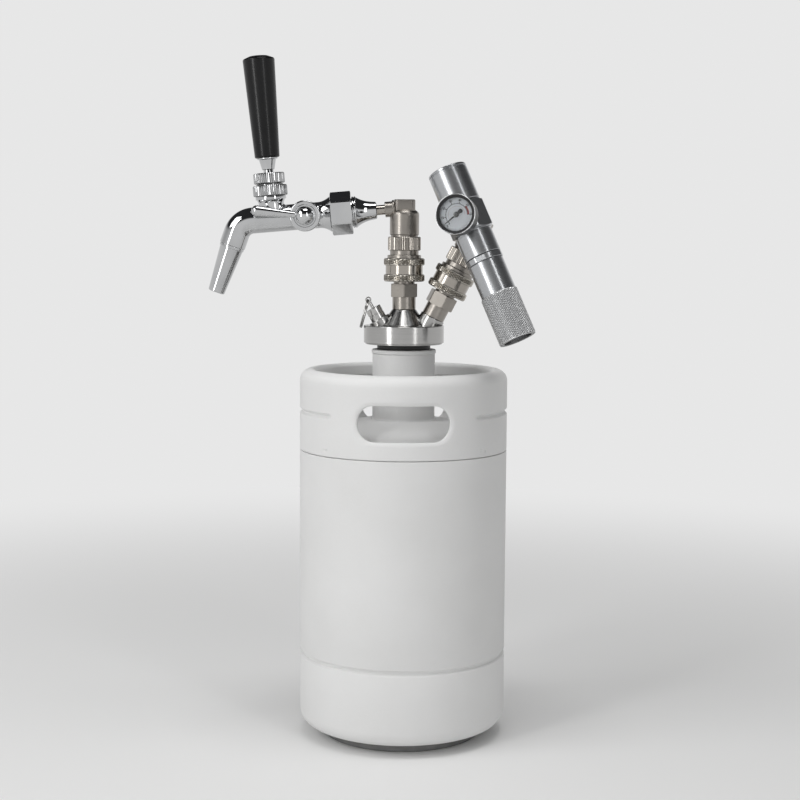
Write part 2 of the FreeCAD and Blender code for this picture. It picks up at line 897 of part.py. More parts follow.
# Handle lever: ball, thin foot with a round tip in the shuttle's slot, and the stud above
def handle_lever():
    ball = Part.makeSphere(pivot_ball, vec(0, 0, pivot_height))
    stud_top = ferrule_height + ferrule_length + stud_length
    stud = rod(lever_radius, pivot_height, stud_top)
    foot = rod(lever_foot_radius, 0, pivot_height)
    tip = Part.makeSphere(lever_tip_radius, vec(0, 0, 0))
    return placed(ball.fuse(stud).fuse(foot).fuse(tip).removeSplitter(), stack_frame)


def ferrule():
    low = ferrule_height
    high = low + ferrule_length
    flange = high - ferrule_flange_height
    bore = lever_radius + stud_fit
    return placed(turned(
        (bore, low),
        (ferrule_low_radius, low),
        (ferrule_high_radius, flange),
        (ferrule_flange, flange),
        (ferrule_flange, high),
        (bore, high)), stack_frame)


# Tap handle: turned tapered grip with a low crown
def tap_handle():
    low = ferrule_height + ferrule_length + 0.05
    high = low + handle_length
    bore = lever_radius + stud_fit
    edge = handle_edge
    wide = handle_high_radius
    stud_top = low + stud_length + 0.5
    return placed(turned(
        (bore, low),
        (handle_low_radius - edge, low),
        (arc_point(handle_low_radius - edge, low + edge, edge, -45), (handle_low_radius, low + edge)),
        (wide, high - handle_crown - edge),
        (arc_point(wide - edge, high - handle_crown - edge, edge, 45), (wide - edge, high - handle_crown)),
        (cap_middle(wide - edge, handle_crown, high), (0, high)),
        (0, stud_top),
        (bore, stud_top)), stack_frame)


# Shuttle: piston that the lever's tip pulls off the seat, with a slot that widens at its mouth
def shuttle():
    front = seat_at - seal_length - 0.2
    body = rod(shuttle_bore - shuttle_fit, front - shuttle_length, front)
    half = lever_tip_radius + slot_fit
    floor = -lever_tip_radius - slot_fit
    slot = Part.makeBox(tool_over, 2 * half, 2 * half, vec(floor, -half, stack_at - half))
    wide = half + slot_mouth
    mouth = Part.makeBox(tool_over, 2 * half, 2 * wide, vec(slot_mouth, -half, stack_at - wide))
    return placed(body.cut(slot).cut(mouth), tap_frame)


def shuttle_seal():
    front = seat_at - 0.2
    return placed(rod(seal_radius, front - seal_length, front), tap_frame)


# Regulator: a hexagonal body that hangs on the gas disconnect's side outlet
reg_up = vec(*reg_axis).normalize()
reg_front = gas_dir.cross(reg_up)
reg_front.normalize()
if reg_front.y > 0:
    reg_front = reg_front * -1
gas_elbow = gas_foot + gas_dir * elbow_height
reg_centre = gas_elbow + reg_front * reg_reach
gas_frame = frame_at(gas_foot, gas_dir, reg_front)
reg_frame = frame_at(reg_centre, reg_up, reg_up.cross(reg_front))


def regulator_body():
    bar = eased(hex_bar(reg_hex, reg_hex_low, reg_hex_high), reg_hex_corner, reg_hex_low, reg_hex_high, 3.0)
    neck = rod(reg_neck_radius, reg_hex_high - 1, reg_neck_top)
    body = bar.fuse(neck).cut(rod(reg_bore, reg_bore_floor, reg_neck_top + 1))
    gauge_way = Part.makeCylinder(flow_bore, 2 * reg_hex, vec(0, reg_hex, -4), vec(0, -1, 0))
    low_way = rod(flow_bore, reg_hex_low - 1, reg_bore_floor + 1)
    return placed(body.cut(gauge_way).cut(low_way).removeSplitter(), reg_frame)


def diaphragm_piston():
    return placed(rod(reg_bore - piston_fit, reg_bore_floor, reg_bore_floor + piston_length), reg_frame)


def adjusting_knob():
    bore = reg_neck_radius + knob_fit
    ease = 0.4
    return placed(turned(
        (bore, knob_low),
        (knob_radius - ease, knob_low),
        (knob_radius, knob_low + ease),
        (knob_radius, knob_high - ease),
        (knob_radius - ease, knob_high),
        (0, knob_high),
        (0, knob_high - knob_roof),
        (bore, knob_high - knob_roof)), reg_frame)


def regulator_barrel():
    low = barrel_low
    high = reg_hex_low - 0.05
    return placed(turned(
        (flow_bore, low + pin_length),
        (cap_neck_radius + 0.3, low + pin_length),
        (cap_neck_radius + 0.3, low),
        (barrel_radius, low),
        (barrel_radius, high),
        (flow_bore, high)), reg_frame)


def pierce_pin():
    low = barrel_low - 1.0
    top = barrel_low + pin_length - 0.05
    return placed(turned(
        (0, low),
        (pin_radius, low + 3.0),
        (pin_radius, top - 1.5),
        (cap_neck_radius - 2.0, top - 1.5),
        (cap_neck_radius - 2.0, top),
        (0, top)), reg_frame)


def barrel_ring():
    high = barrel_low - groove_gap
    low = high - flats_length
    ring = rod(flats_radius, low, high).common(hex_bar(flats_across, low, high))
    return placed(ring.cut(rod(cap_neck_radius + 0.3, low - 1, high + 1)), reg_frame)


# Cartridge sleeve: cup over the cartridge, screwed into the barrel, open at its lower end
def cartridge_sleeve():
    shoulder = barrel_low - groove_gap - flats_length - 0.3
    neck_high = barrel_low + cap_neck_length - 2.0
    ease = 0.5
    return placed(turned(
        (cartridge_radius + 0.4, shoulder - 4.0),
        (cartridge_radius + 0.4, neck_high),
        (cap_neck_radius, neck_high),
        (cap_neck_radius, shoulder),
        (cap_radius, shoulder),
        (cap_radius, cap_knurl_start),
        (cap_knurl_radius - ease, cap_knurl_start),
        (cap_knurl_radius, cap_knurl_start - ease),
        (cap_knurl_radius, cap_low + ease),
        (cap_knurl_radius - ease, cap_low),
        (cap_bore, cap_low),
        (cap_bore, shoulder - 4.0)), reg_frame)


def gas_cartridge():
    neck_high = barrel_low - 1.3
    ball = cartridge_radius
    shoulder = cartridge_shoulder
    return placed(turned(
        (0, cartridge_low),
        (arc_point(0, cartridge_low + ball, ball, -45), (ball, cartridge_low + ball)),
        (ball, cartridge_top),
        ((ball * 0.82, cartridge_top + shoulder * 0.69), (cartridge_neck, cartridge_top + shoulder)),
        (cartridge_neck, neck_high),
        (0, neck_high)), reg_frame)


def outlet_nut():
    start = upper_radius + 0.4
    end = reg_reach - reg_hex / 2 - 0.05
    nut = eased(hex_bar(gauge_stem_hex + 6.0, start, end), 10.2, start, end, 0.8)
    nut = nut.cut(rod(outlet_radius + 0.1, start - 1, outlet_reach + 0.1))
    nut = nut.cut(rod(flow_bore, start - 1, end + 1))
    return placed(nut, frame_at(gas_elbow, reg_front, reg_up))


# Gauge, built along its own axis out of the front flat of the hexagon
gauge_frame = frame_at(reg_centre, reg_front, reg_up.cross(reg_front))


def gauge_stem():
    start = reg_hex / 2 + 0.05
    stem = rod(gauge_stem_radius, start, case_back)
    corner = gauge_stem_hex / math.sqrt(3)
    nut = eased(hex_bar(gauge_stem_hex, start + 2.0, case_back - 1.5), corner, start + 2.0,
                case_back - 1.5, 0.5)
    return placed(stem.fuse(nut).cut(rod(1.5, start - 1, case_back + 1)).removeSplitter(), gauge_frame)


def gauge_case():
    inner = case_radius - case_wall
    low = case_back + 0.05
    ease = 1.5
    return placed(turned(
        (0, low),
        (case_radius - ease, low),
        (arc_point(case_radius - ease, low + ease, ease, -45), (case_radius, low + ease)),
        (case_radius, case_front),
        (inner, case_front),
        (inner, low + 2.0),
        (0, low + 2.0)), gauge_frame)


def gauge_bezel():
    skirt = case_radius + 0.05
    low = case_front - 2.6
    bend = bezel_bend
    return placed(turned(
        (skirt, low),
        (gauge_radius, low),
        (gauge_radius, gauge_face - bend),
        (arc_point(gauge_radius - bend, gauge_face - bend, bend, 45), (gauge_radius - bend, gauge_face)),
        (bezel_lip, gauge_face),
        (bezel_lip, case_front + lens_thick + 0.1),
        (skirt, case_front + lens_thick + 0.1)), gauge_frame)


def gauge_dial():
    inner = case_radius - case_wall - 0.1
    low = case_back + 2.05
    post_hole = 0.8
    dial = rod(inner, dial_out, dial_out + dial_thick)
    legs = rod(3.0, low, dial_out)
    return placed(dial.fuse(legs).cut(rod(post_hole, low - 1, dial_out + 2)).removeSplitter(), gauge_frame)


def gauge_lens():
    return placed(rod(case_radius - 0.3, case_front + 0.02, case_front + lens_thick), gauge_frame)


# Needle: thin pointer with a broad tail on a pivot pin in the dial
def gauge_needle():
    low = needle_out
    points = [(-needle_tail, -1.1), (-1.5, -1.1), (0, -0.6), (needle_length, -0.12),
              (needle_length, 0.12), (0, 0.6), (-1.5, 1.1), (-needle_tail, 1.1)]
    wire = Part.makePolygon([vec(x, y, low) for x, y in points + points[:1]])
    blade = Part.Face(wire).extrude(vec(0, 0, needle_thick))
    hub = rod(1.7, low, low + needle_thick)
    pin = rod(0.7, dial_out - 3.0, low)
    needle = blade.fuse(hub).fuse(pin).removeSplitter()
    needle.rotate(vec(0, 0, 0), up, needle_angle)
    return placed(needle, gauge_frame)


os.makedirs("parts", exist_ok=True)
save("keg_body", keg_body())
save("base_pad", base_pad())
save("top_ring", top_ring())
save("keg_dome", keg_dome())
save("keg_neck", keg_neck())
save("neck_gasket", neck_gasket())
save("tapping_head", tapping_head())
save("dip_tube", dip_tube())
save("relief_body", relief_body())
save("relief_stem", relief_stem())
save("relief_ring", relief_ring())
save("liquid_post", placed(post(), liquid_frame))
save("gas_post", placed(post(), gas_frame))
save("liquid_disconnect", placed(disconnect(tap_dir), liquid_frame))
save("gas_disconnect", placed(disconnect(vec(1, 0, 0)), gas_frame))
save("liquid_sleeve", placed(lock_sleeve(), liquid_frame))
save("gas_sleeve", placed(lock_sleeve(), gas_frame))
save("liquid_balls", placed(lock_balls(), liquid_frame))
save("gas_balls", placed(lock_balls(), gas_frame))
save("tail_link", tail_link())
save("tap_shank", tap_shank())
save("coupling_nut", coupling_nut())
save("faucet_body", faucet_body())
save("spout", spout())
save("side_ring", side_ring())
save("flow_lever", flow_lever())
save("bonnet", bonnet())
save("top_collar", top_collar())
save("handle_lever", handle_lever())
save("ferrule", ferrule())
save("tap_handle", tap_handle())
save("shuttle", shuttle())
save("shuttle_seal", shuttle_seal())
save("regulator_body", regulator_body())
save("diaphragm_piston", diaphragm_piston())
save("adjusting_knob", adjusting_knob())
save("regulator_barrel", regulator_barrel())
save("pierce_pin", pierce_pin())
save("barrel_ring", barrel_ring())
save("cartridge_sleeve", cartridge_sleeve())
save("gas_cartridge", gas_cartridge())
save("outlet_nut", outlet_nut())
save("gauge_stem", gauge_stem())
save("gauge_case", gauge_case())
save("gauge_bezel", gauge_bezel())
save("gauge_dial", gauge_dial())
save("gauge_needle", gauge_needle())
save("gauge_lens", gauge_lens())
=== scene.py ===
from math import acos, atan2, ceil, cos, degrees, pi, radians, sin, sqrt, tan

import bmesh
import bpy
import numpy as np
from mathutils import Matrix, Vector


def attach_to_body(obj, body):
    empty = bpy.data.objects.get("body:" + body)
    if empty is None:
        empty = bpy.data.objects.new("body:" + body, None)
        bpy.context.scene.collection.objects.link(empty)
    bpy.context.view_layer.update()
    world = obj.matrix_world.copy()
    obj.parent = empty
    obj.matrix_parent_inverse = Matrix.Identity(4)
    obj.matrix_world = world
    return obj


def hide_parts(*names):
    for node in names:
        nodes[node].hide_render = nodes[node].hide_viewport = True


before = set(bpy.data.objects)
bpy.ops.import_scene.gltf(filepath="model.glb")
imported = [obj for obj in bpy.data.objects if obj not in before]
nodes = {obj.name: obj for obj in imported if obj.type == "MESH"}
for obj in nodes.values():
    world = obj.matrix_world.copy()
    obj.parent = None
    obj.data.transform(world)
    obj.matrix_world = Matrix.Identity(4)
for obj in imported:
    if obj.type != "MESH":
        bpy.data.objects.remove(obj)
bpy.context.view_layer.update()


# Camera: matched to the photograph, at the height of the tap and looking slightly down. Its focal
# length was found in pixels of a square picture, 800 pixels a side.
def added(name, data):
    """A new object in the scene."""
    thing = bpy.data.objects.new(name, data)
    bpy.context.scene.collection.objects.link(thing)
    return thing


focal_pixels, picture_pixels, sensor = 1566, 800, 36
camera = added("camera", bpy.data.cameras.new("camera"))
camera.data.sensor_width = sensor
camera.data.lens = sensor * focal_pixels / picture_pixels
camera.data.clip_start = 0.05
tilt = Matrix.Rotation(radians(84.311), 4, "X") @ Matrix.Rotation(radians(0.33), 4, "Z")
camera.matrix_world = Matrix.Translation((-0.0028, -1.2666, 0.399)) @ tilt
bpy.context.scene.camera = camera
bpy.context.scene.view_settings.view_transform = "Standard"

# Studio: a pale floor that runs on into a pale world, a strip and a broad lamp on the left, a weaker
# strip on the right, and one lamp overhead.
aim = Vector((0.0, 0.0, 0.28))
for name, place, width, height, watts in (("lamp_left_strip", (-1.05, -1.15, 0.75), 0.28, 1.3, 7.0),
                                          ("lamp_left_broad", (-1.5, -0.7, 1.55), 0.9, 0.9, 8.5),
                                          ("lamp_right_strip", (0.85, -1.35, 0.85), 0.22, 1.3, 3.2),
                                          ("lamp_top", (0.1, -0.25, 1.8), 0.9, 0.5, 8.0)):
    lamp = added(name, bpy.data.lights.new(name, "AREA"))
    lamp.data.shape = "RECTANGLE"
    lamp.data.size, lamp.data.size_y, lamp.data.energy = width, height, watts
    toward = (aim - Vector(place)).to_track_quat("-Z", "Y")
    lamp.matrix_world = Matrix.Translation(place) @ toward.to_matrix().to_4x4()


def feed(tree, shader, sockets):
    """Gives a node's sockets, by name or number, a value each, or the output that each is linked from."""
    for key, value in sockets.items():
        if isinstance(value, bpy.types.NodeSocket):
            tree.links.new(value, shader.inputs[key])
        else:
            shader.inputs[key].default_value = value


def node(tree, kind, sockets, **settings):
    """A new shader node with its settings and its sockets."""
    made = tree.nodes.new("ShaderNode" + kind)
    for key, value in settings.items():
        setattr(made, key, value)
    feed(tree, made, sockets)
    return made


def ramp(tree, value, *stops):
    """Colour from a value, by two stops (position, colour)."""
    made = node(tree, "ValToRGB", {"Fac": value})
    for k, (position, colour) in enumerate(stops):
        made.color_ramp.elements[k].position = position
        made.color_ramp.elements[k].color = (*colour, 1)
    return made.outputs["Color"]


def seen_directly(tree):
    """1 for rays from the camera, off metal and through glass, so that all three see one pale room."""
    rays = node(tree, "LightPath", {})
    total = rays.outputs["Is Camera Ray"]
    for name in ("Is Glossy Ray", "Is Transmission Ray"):
        total = node(tree, "Math", {0: total, 1: rays.outputs[name]}, operation="MAXIMUM").outputs[0]
    return total


pale = (0.80, 0.80, 0.80)
floor_mesh = bpy.data.meshes.new("floor")
floor_mesh.from_pydata([(-9, -9, 0), (9, -9, 0), (9, 9, 0), (-9, 9, 0)], [], [(0, 1, 2, 3)])
floor = added("floor", floor_mesh)
floor_look = bpy.data.materials.new("pale_floor")
floor_look.use_nodes = True
tree = floor_look.node_tree
near = tree.nodes["Principled BSDF"]
feed(tree, near, {"Base Color": (0.82, 0.82, 0.815, 1), "Roughness": 0.8})
far = node(tree, "Emission", {"Color": (*pale, 1)})
spot = node(tree, "TexCoord", {}).outputs["Object"]
gone = node(tree, "VectorMath", {0: spot}, operation="LENGTH").outputs["Value"]
blend = node(tree, "MapRange", {"Value": gone, "From Min": 0.25, "From Max": 1.3},
             interpolation_type="SMOOTHSTEP")
both = node(tree, "Math", {0: blend.outputs[0], 1: seen_directly(tree)}, operation="MULTIPLY")
mix = node(tree, "MixShader", {"Fac": both.outputs[0], 1: near.outputs[0], 2: far.outputs[0]})
feed(tree, tree.nodes["Material Output"], {"Surface": mix.outputs[0]})
floor_mesh.materials.append(floor_look)

world = bpy.data.worlds.new("studio")
world.use_nodes = True
bpy.context.scene.world = world
tree = world.node_tree
where = node(tree, "TexCoord", {}).outputs["Generated"]
up = node(tree, "SeparateXYZ", {0: where}).outputs["Z"]
fade = ramp(tree, up, (0.15, (0.09, 0.09, 0.093)), (0.95, (0.52, 0.52, 0.52)))
backdrop = ramp(tree, up, (0.24, pale), (0.42, (0.03, 0.03, 0.032)))
room = node(tree, "Mix", {"Factor": seen_directly(tree), "A": fade, "B": backdrop}, data_type="RGBA")
feed(tree, tree.nodes["Background"], {"Color": room.outputs["Result"]})


# Keg body: drawn steel cylinder with a rolled groove low down and a rounded bottom edge,
# powder coated matte white. Every piece's outline is in millimetres of its own frame.
def unit(v):
    v = np.asarray(v, float)
    return v / np.linalg.norm(v)


def frame_at(origin, z_dir, x_hint):
    """Origin and three axes: Z along z_dir, X the part of x_hint square to it, Y their cross product."""
    z = unit(z_dir)
    x = unit(np.asarray(x_hint, float) - z * np.dot(x_hint, z))
    return np.asarray(origin, float), np.array([x, np.cross(z, x), z])


upright = frame_at((0, 0, 0), (0, 0, 1), (1, 0, 0))


def arc(centre_r, centre_z, radius, first, last, steps):
    """Points on a circle in the (r, z) plane, from one angle to another in degrees."""
    a = np.radians(np.linspace(first, last, steps + 1))
    return list(zip(centre_r + radius * np.cos(a), centre_z + radius * np.sin(a)))


def outline(*corners):
    """Half section through corners (r, z) or (r, z, radius). A corner with a radius becomes an arc
    tangent to both of its sides, with a point just outside each end that keeps the shading flat there."""
    plan = [tuple(c) + (0.0,) * (3 - len(c)) for c in corners]
    closed = plan[0][0] > 1e-6 or plan[-1][0] > 1e-6
    points = []
    for i, (r, z, radius) in enumerate(plan):
        here = np.array([r, z])
        if radius <= 0 or (not closed and i in (0, len(plan) - 1)):
            points.append(here)
            continue
        back = np.array(plan[i - 1][:2]) - here
        on = np.array(plan[(i + 1) % len(plan)][:2]) - here
        back_len, on_len = np.linalg.norm(back), np.linalg.norm(on)
        back, on = back / back_len, on / on_len
        half = acos(max(-1.0, min(1.0, float(back @ on)))) / 2
        if half > radians(88):
            points.append(here)
            continue
        run = min(radius / tan(half), 0.42 * back_len, 0.42 * on_len)
        radius = run * tan(half)
        centre = here + unit(back + on) * radius / sin(half)
        start, end = here + back * run - centre, here + on * run - centre
        turn = atan2(start[0] * end[1] - start[1] * end[0], float(start @ end))
        steps = max(2, ceil(abs(degrees(turn)) / 15))
        edge = min(0.25, run * 0.3)
        points.append(here + back * (run + edge))
        for a in np.linspace(0, turn, steps + 1):
            points.append(centre + np.array([start[0] * cos(a) - start[1] * sin(a),
                                             start[0] * sin(a) + start[1] * cos(a)]))
        points.append(here + on * (run + edge))
    return np.array(points)


def lofted(a, rows):
    """Grid of points (r cos a, r sin a, z), where each row's r and z are a number or a list over a."""
    return np.stack([np.stack([r * np.cos(a), r * np.sin(a), z + 0 * a], 1) for r, z in rows])


def spun(section, count=96):
    """Surface of revolution of a half section."""
    return lofted(np.linspace(0, 2 * pi, count, endpoint=False), section)


def turned(count, *corners):
    """Surface of revolution of an outline."""
    return spun(outline(*corners), count)


def set_in(grid, place):
    """A grid of points in a frame, moved to the part's own frame."""
    origin, axes = place
    return origin + grid @ axes


def squares(rows, columns, bands, cells):
    """Point numbers at the four corners of each square of a grid, which may run on into its start."""
    i, j = np.meshgrid(np.arange(bands), np.arange(cells), indexing="ij")
    here, below, on = i * columns, (i + 1) % rows * columns, (j + 1) % columns
    return here + j, here + on, below + on, below + j


def joined(name, blocks, gap, crease):
    """Smooth mesh in metres from blocks (points in mm, lists of faces): points closer than gap metres
    are merged, and edges of more than crease degrees stay sharp."""
    points, faces, start = [], [], 0
    for block_points, block_faces in blocks:
        points.append(block_points * 0.001)
        for part in block_faces:
            faces += (part + start).tolist()
        start += len(block_points)
    mesh = bpy.data.meshes.new(name)
    mesh.from_pydata(np.concatenate(points).tolist(), [], faces)
    work = bmesh.new()
    work.from_mesh(mesh)
    bmesh.ops.remove_doubles(work, verts=work.verts, dist=gap)
    bmesh.ops.recalc_face_normals(work, faces=work.faces)
    work.to_mesh(mesh)
    work.free()
    mesh.polygons.foreach_set("use_smooth", np.ones(len(mesh.polygons), bool))
    mesh.set_sharp_from_angle(angle=radians(crease))
    return mesh


def skin(name, grids, crease, knurled):
    """Mesh over grids. Columns always close round; rows close too unless the first row is a single
    point. A knurled grid's squares are split along the grooves between its points."""
    blocks = []
    for grid in grids:
        rows, columns = grid.shape[:2]
        capped = np.ptp(grid[0], axis=0).max() < 1e-6
        a, b, c, d = squares(rows, columns, rows - 1 if capped else rows, columns)
        if knurled:
            even = ((a // columns + a % columns) % 2 == 0)[..., None]
            faces = [np.where(even, np.stack([a, b, c], 2), np.stack([a, b, d], 2)).reshape(-1, 3),
                     np.where(even, np.stack([a, c, d], 2), np.stack([b, c, d], 2)).reshape(-1, 3)]
        else:
            faces = [np.stack([a, b, c, d], 2).reshape(-1, 4)]
        blocks.append((grid.reshape(-1, 3), faces))
    return joined(name, blocks, 2e-7, crease)


def attach(name, mesh, look, slot, body, *replaced):
    """One piece: its mesh and material, riding on a body, in place of CAD nodes."""
    piece = added(name, mesh)
    mesh.materials.append(look)
    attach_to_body(piece, body)
    if replaced:
        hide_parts(*replaced)


def fit(name, place, grids, look, slot, body, *replaced, crease=28, knurled=False):
    """One piece skinned over grids that are set in a frame."""
    mesh = skin(name, [set_in(grid, place) for grid in grids], crease, knurled)
    attach(name, mesh, look, slot, body, *replaced)


def blank(name, sockets):
    """A new material's tree, its shader with sockets set, and its Object coordinates."""
    look = bpy.data.materials.new(name)
    look.use_nodes = True
    tree = look.node_tree
    shader = tree.nodes["Principled BSDF"]
    feed(tree, shader, sockets)
    return look, tree, shader, node(tree, "TexCoord", {}).outputs["Object"]


def noise(tree, coords, scale, detail=3.0, rough=0.5):
    """Value noise of a scale in cells per metre."""
    return node(tree, "TexNoise", {"Scale": scale, "Detail": detail, "Roughness": rough,
                                   "Vector": coords}).outputs["Fac"]


def spread(tree, value, low, high):
    """Carries a 0.3 to 0.7 noise value over to the range low to high."""
    return node(tree, "MapRange", {"From Min": 0.3, "From Max": 0.7, "To Min": low, "To Max": high,
                                   "Value": value}).outputs[0]


def shade(tree, value, dark, light):
    """Mixes two colours by a noise value."""
    return ramp(tree, value, (0.32, dark), (0.68, light))


def dented(tree, value, strength, depth, under=None):
    """Bump from a height value, depth in metres; under is a bump that it lies on."""
    sockets = {"Strength": strength, "Distance": depth, "Height": value}
    return node(tree, "Bump", {**sockets, "Normal": under} if under else sockets).outputs["Normal"]


def mottled(name, tone, sheen, bumps, sockets):
    """Material from noise on Object coordinates. Each layer opens with its noise (scale, detail,
    roughness): the tone runs between two colours, the sheen between two roughness values, and each
    bump has a strength and a depth and lies on the one before it."""
    look, tree, shader, coords = blank(name, sockets)
    under = None
    for grain, strength, depth in bumps:
        under = dented(tree, noise(tree, coords, *grain), strength, depth, under)
    feed(tree, shader, {"Base Color": shade(tree, noise(tree, coords, *tone[0]), *tone[1:]),
                        "Roughness": spread(tree, noise(tree, coords, *sheen[0]), *sheen[1:]),
                        "Normal": under})
    return look


# Matte white powder coat: fine orange peel, faint change of tone and sheen.
keg_paint = mottled("keg_powder_coat", ((14, 4), (0.765, 0.765, 0.758), (0.80, 0.80, 0.795)),
                    ((240, 4), 0.50, 0.60), (((420, 2), 0.28, 0.00035), ((2600, 2), 0.16, 0.00008)),
                    {"Specular IOR Level": 0.42})
keg_radius = 84.0
keg_bottom = 8.0
bottom_edge = 12
seam = 233.7
seam_half = 0.3
groove_z, groove_depth, groove_half = 68.2, 2.6, 2.8
lap = np.linspace(-pi, pi, 15)
groove = list(zip(keg_radius - groove_depth * (1 + np.cos(lap)) / 2, groove_z + groove_half * lap / pi))
body_section = (
    [(0.0, keg_bottom + 6.0), (30.0, keg_bottom + 4.6), (56.0, keg_bottom + 0.9)]
    + arc(keg_radius - bottom_edge, keg_bottom + bottom_edge, bottom_edge, -90, 0, 14)
    + [(keg_radius, 40.0)] + groove
    + [(keg_radius, 120.0), (keg_radius, 180.0), (keg_radius, seam - seam_half - 1.1)]
    + arc(keg_radius - 0.5, seam - seam_half - 0.5, 0.5, 0, 90, 4)
    + [(keg_radius - 2, seam - seam_half), (keg_radius - 2, 40.0), (keg_radius - 14, keg_bottom + 2.2),
       (0.0, keg_bottom + 8.0)])
fit("keg_body_shell", upright, [spun(body_section, 192)], keg_paint, "keg_paint", "keg", "keg_body",
    crease=32)


# Base pad: moulded grey rubber dish glued under the bottom, a little narrower than the keg.
# Rubber has soft mottling, fine grain and a dull sheen.
def moulded(name, dark, light, rough):
    return mottled(name, ((90, 5), dark, light), ((500, 4), rough - 0.06, rough + 0.06),
                   (((1500, 3), 0.25, 0.0001),), {"Specular IOR Level": 0.35})


grey_rubber = moulded("grey_base_rubber", (0.20, 0.20, 0.198), (0.26, 0.26, 0.257), 0.6)
base_pad = turned(160, (0, 0), (65, 0, 1.5), (65, keg_bottom, 0.3), (61.5, keg_bottom), (61.5, 3.0, 1.0),
                  (0, 3.0))
fit("base_pad_moulding", upright, [base_pad], grey_rubber, "base_rubber", "keg", "base_pad", crease=32)


# Top ring: strip of sheet with its rim rolled outwards and in, a hand hole front and back with
# softly turned edges, a rolled groove on both sides, and small spot-weld dimples over the seam.
ring_wall = 2.2
ring_inner = keg_radius - ring_wall
rim_top = 298.5
hole_half_width = 37.6
hole_half_height = 13.9
hole_z = 262.0
panel_low, panel_high, panel_half = 241.5, 285.0, 38.0
ring_groove_z, ring_groove_depth, ring_groove_half = 265.5, 2.4, 2.7
groove_start = 42.0
dimples = ((-47.6, 239.0), (-45.6, 238.8), (46.2, 239.1), (50.0, 238.9))
dimple_size = 0.9
mm_per_degree = keg_radius * pi / 180

# Azimuths round the ring from the front, in degrees: even steps, with finer ones at the dimples.
panel_edges = np.array([-panel_half, panel_half, 180 - panel_half, panel_half - 180])
azimuths = np.unique(np.round(np.concatenate(
    [np.linspace(-180, 180, 240, endpoint=False)]
    + [np.arange(-2.0, 2.01, 0.25) + a for a, _ in dimples] + [panel_edges]), 3))
kept = [True] + [b - a > 0.12 or b in panel_edges for a, b in zip(azimuths[:-1], azimuths[1:])]
azimuths = azimuths[np.array(kept)]


def on_ring(azimuth, z, depth):
    """Point at an azimuth from the front, a height, and a depth below the ring's outer radius. The
    rolled groove and the dimples push it in: a raised cosine across, and round humps."""
    away = np.abs((azimuth + 180) % 360 - 180)
    side = np.clip((np.minimum(away, 180 - away) - groove_start) / 3.0, 0, 1)
    across = np.clip(np.abs(z - ring_groove_z) / ring_groove_half, 0, 1)
    push = ring_groove_depth * (1 + np.cos(pi * across)) / 2 * side
    for a, height in dimples:
        gap = np.hypot((azimuth - a) * keg_radius * pi / 180, z - height)
        push = push + dimple_size * np.exp(-(gap / dimple_size) ** 2)
    r = keg_radius - depth - push
    a = np.radians(azimuth)
    return np.stack([r * np.sin(a), -r * np.cos(a), z + 0 * r], -1)


def strip(angles, rows, closed=False):
    """Block of ring points for section rows (r, z) along a list of azimuths."""
    count = len(angles)
    grid = np.stack([on_ring(angles, np.full(count, z), keg_radius - r) for r, z in rows])
    quads = np.stack(squares(len(rows), count, len(rows) - 1, count if closed else count - 1), 2)
    return grid.reshape(-1, 3), [quads.reshape(-1, 4)]


def hole_panel(centre, angles):
    """Panel with the hand hole. Each line of the grid runs from the panel's edge to the nearest share
    of the hole's edge, and there turns through the wall on a half circle, to come back inside."""
    top = [(a, panel_high) for a in angles]
    right = [(angles[-1], z) for z in panel_rows[::-1]]
    low = [(a, panel_low) for a in angles[::-1]]
    left = [(angles[0], z) for z in panel_rows]
    edge = np.array(top[:-1] + right[:-1] + low[:-1] + left[:-1])
    straight = hole_half_width - hole_half_height
    half_round = hole_half_height * pi / 4
    s = np.linspace(0, 2 * straight + 2 * half_round, len(top))[:-1]
    lean = (np.clip((s - half_round - 2 * straight) / hole_half_height, 0, None)
            - np.clip((half_round - s) / hole_half_height, 0, None))
    x = np.clip(s - half_round, 0, 2 * straight) - straight
    upper_out = np.stack([np.sin(lean), np.cos(lean)], -1)
    upper = np.stack([x, 0 * x], -1) + upper_out * hole_half_height
    turn = np.radians(np.linspace(45, -45, len(right))[:-1])
    side_out = np.stack([np.cos(turn), np.sin(turn)], -1)
    side = side_out * hole_half_height + np.array([straight, 0])
    hole = np.concatenate([upper, side, -upper, -side])
    outward = np.concatenate([upper_out, side_out, -upper_out, -side_out])
    roll = ring_wall / 2
    lead = (edge - np.array([centre, hole_z])) * np.array([mm_per_degree, 1]) - hole - outward * roll
    reach = (1.0, 0.7, 0.45, 0.3, 0.2, 0.13, 0.08, 0.04, 0.0)
    lines = [(hole + outward * roll + lead * s, 0.0) for s in reach]
    lines += [(hole + outward * (roll - roll * sin(a)), roll - roll * cos(a))
              for a in np.radians(np.linspace(0, 180, 9))[1:-1]]
    lines += [(hole + outward * roll + lead * s, ring_wall) for s in reach[::-1]]
    flat = np.array([points for points, _ in lines])
    depths = np.array([depth for _, depth in lines])[:, None]
    turned_in = 0.9 * np.exp(-(np.linalg.norm(flat - hole, axis=2) / 2.2) ** 2)
    grid = on_ring(centre + flat[..., 0] / mm_per_degree, hole_z + flat[..., 1], depths + turned_in)
    rows, columns = grid.shape[:2]
    return grid.reshape(-1, 3), [np.stack(squares(rows, columns, rows - 1, columns), 2).reshape(-1, 4)]


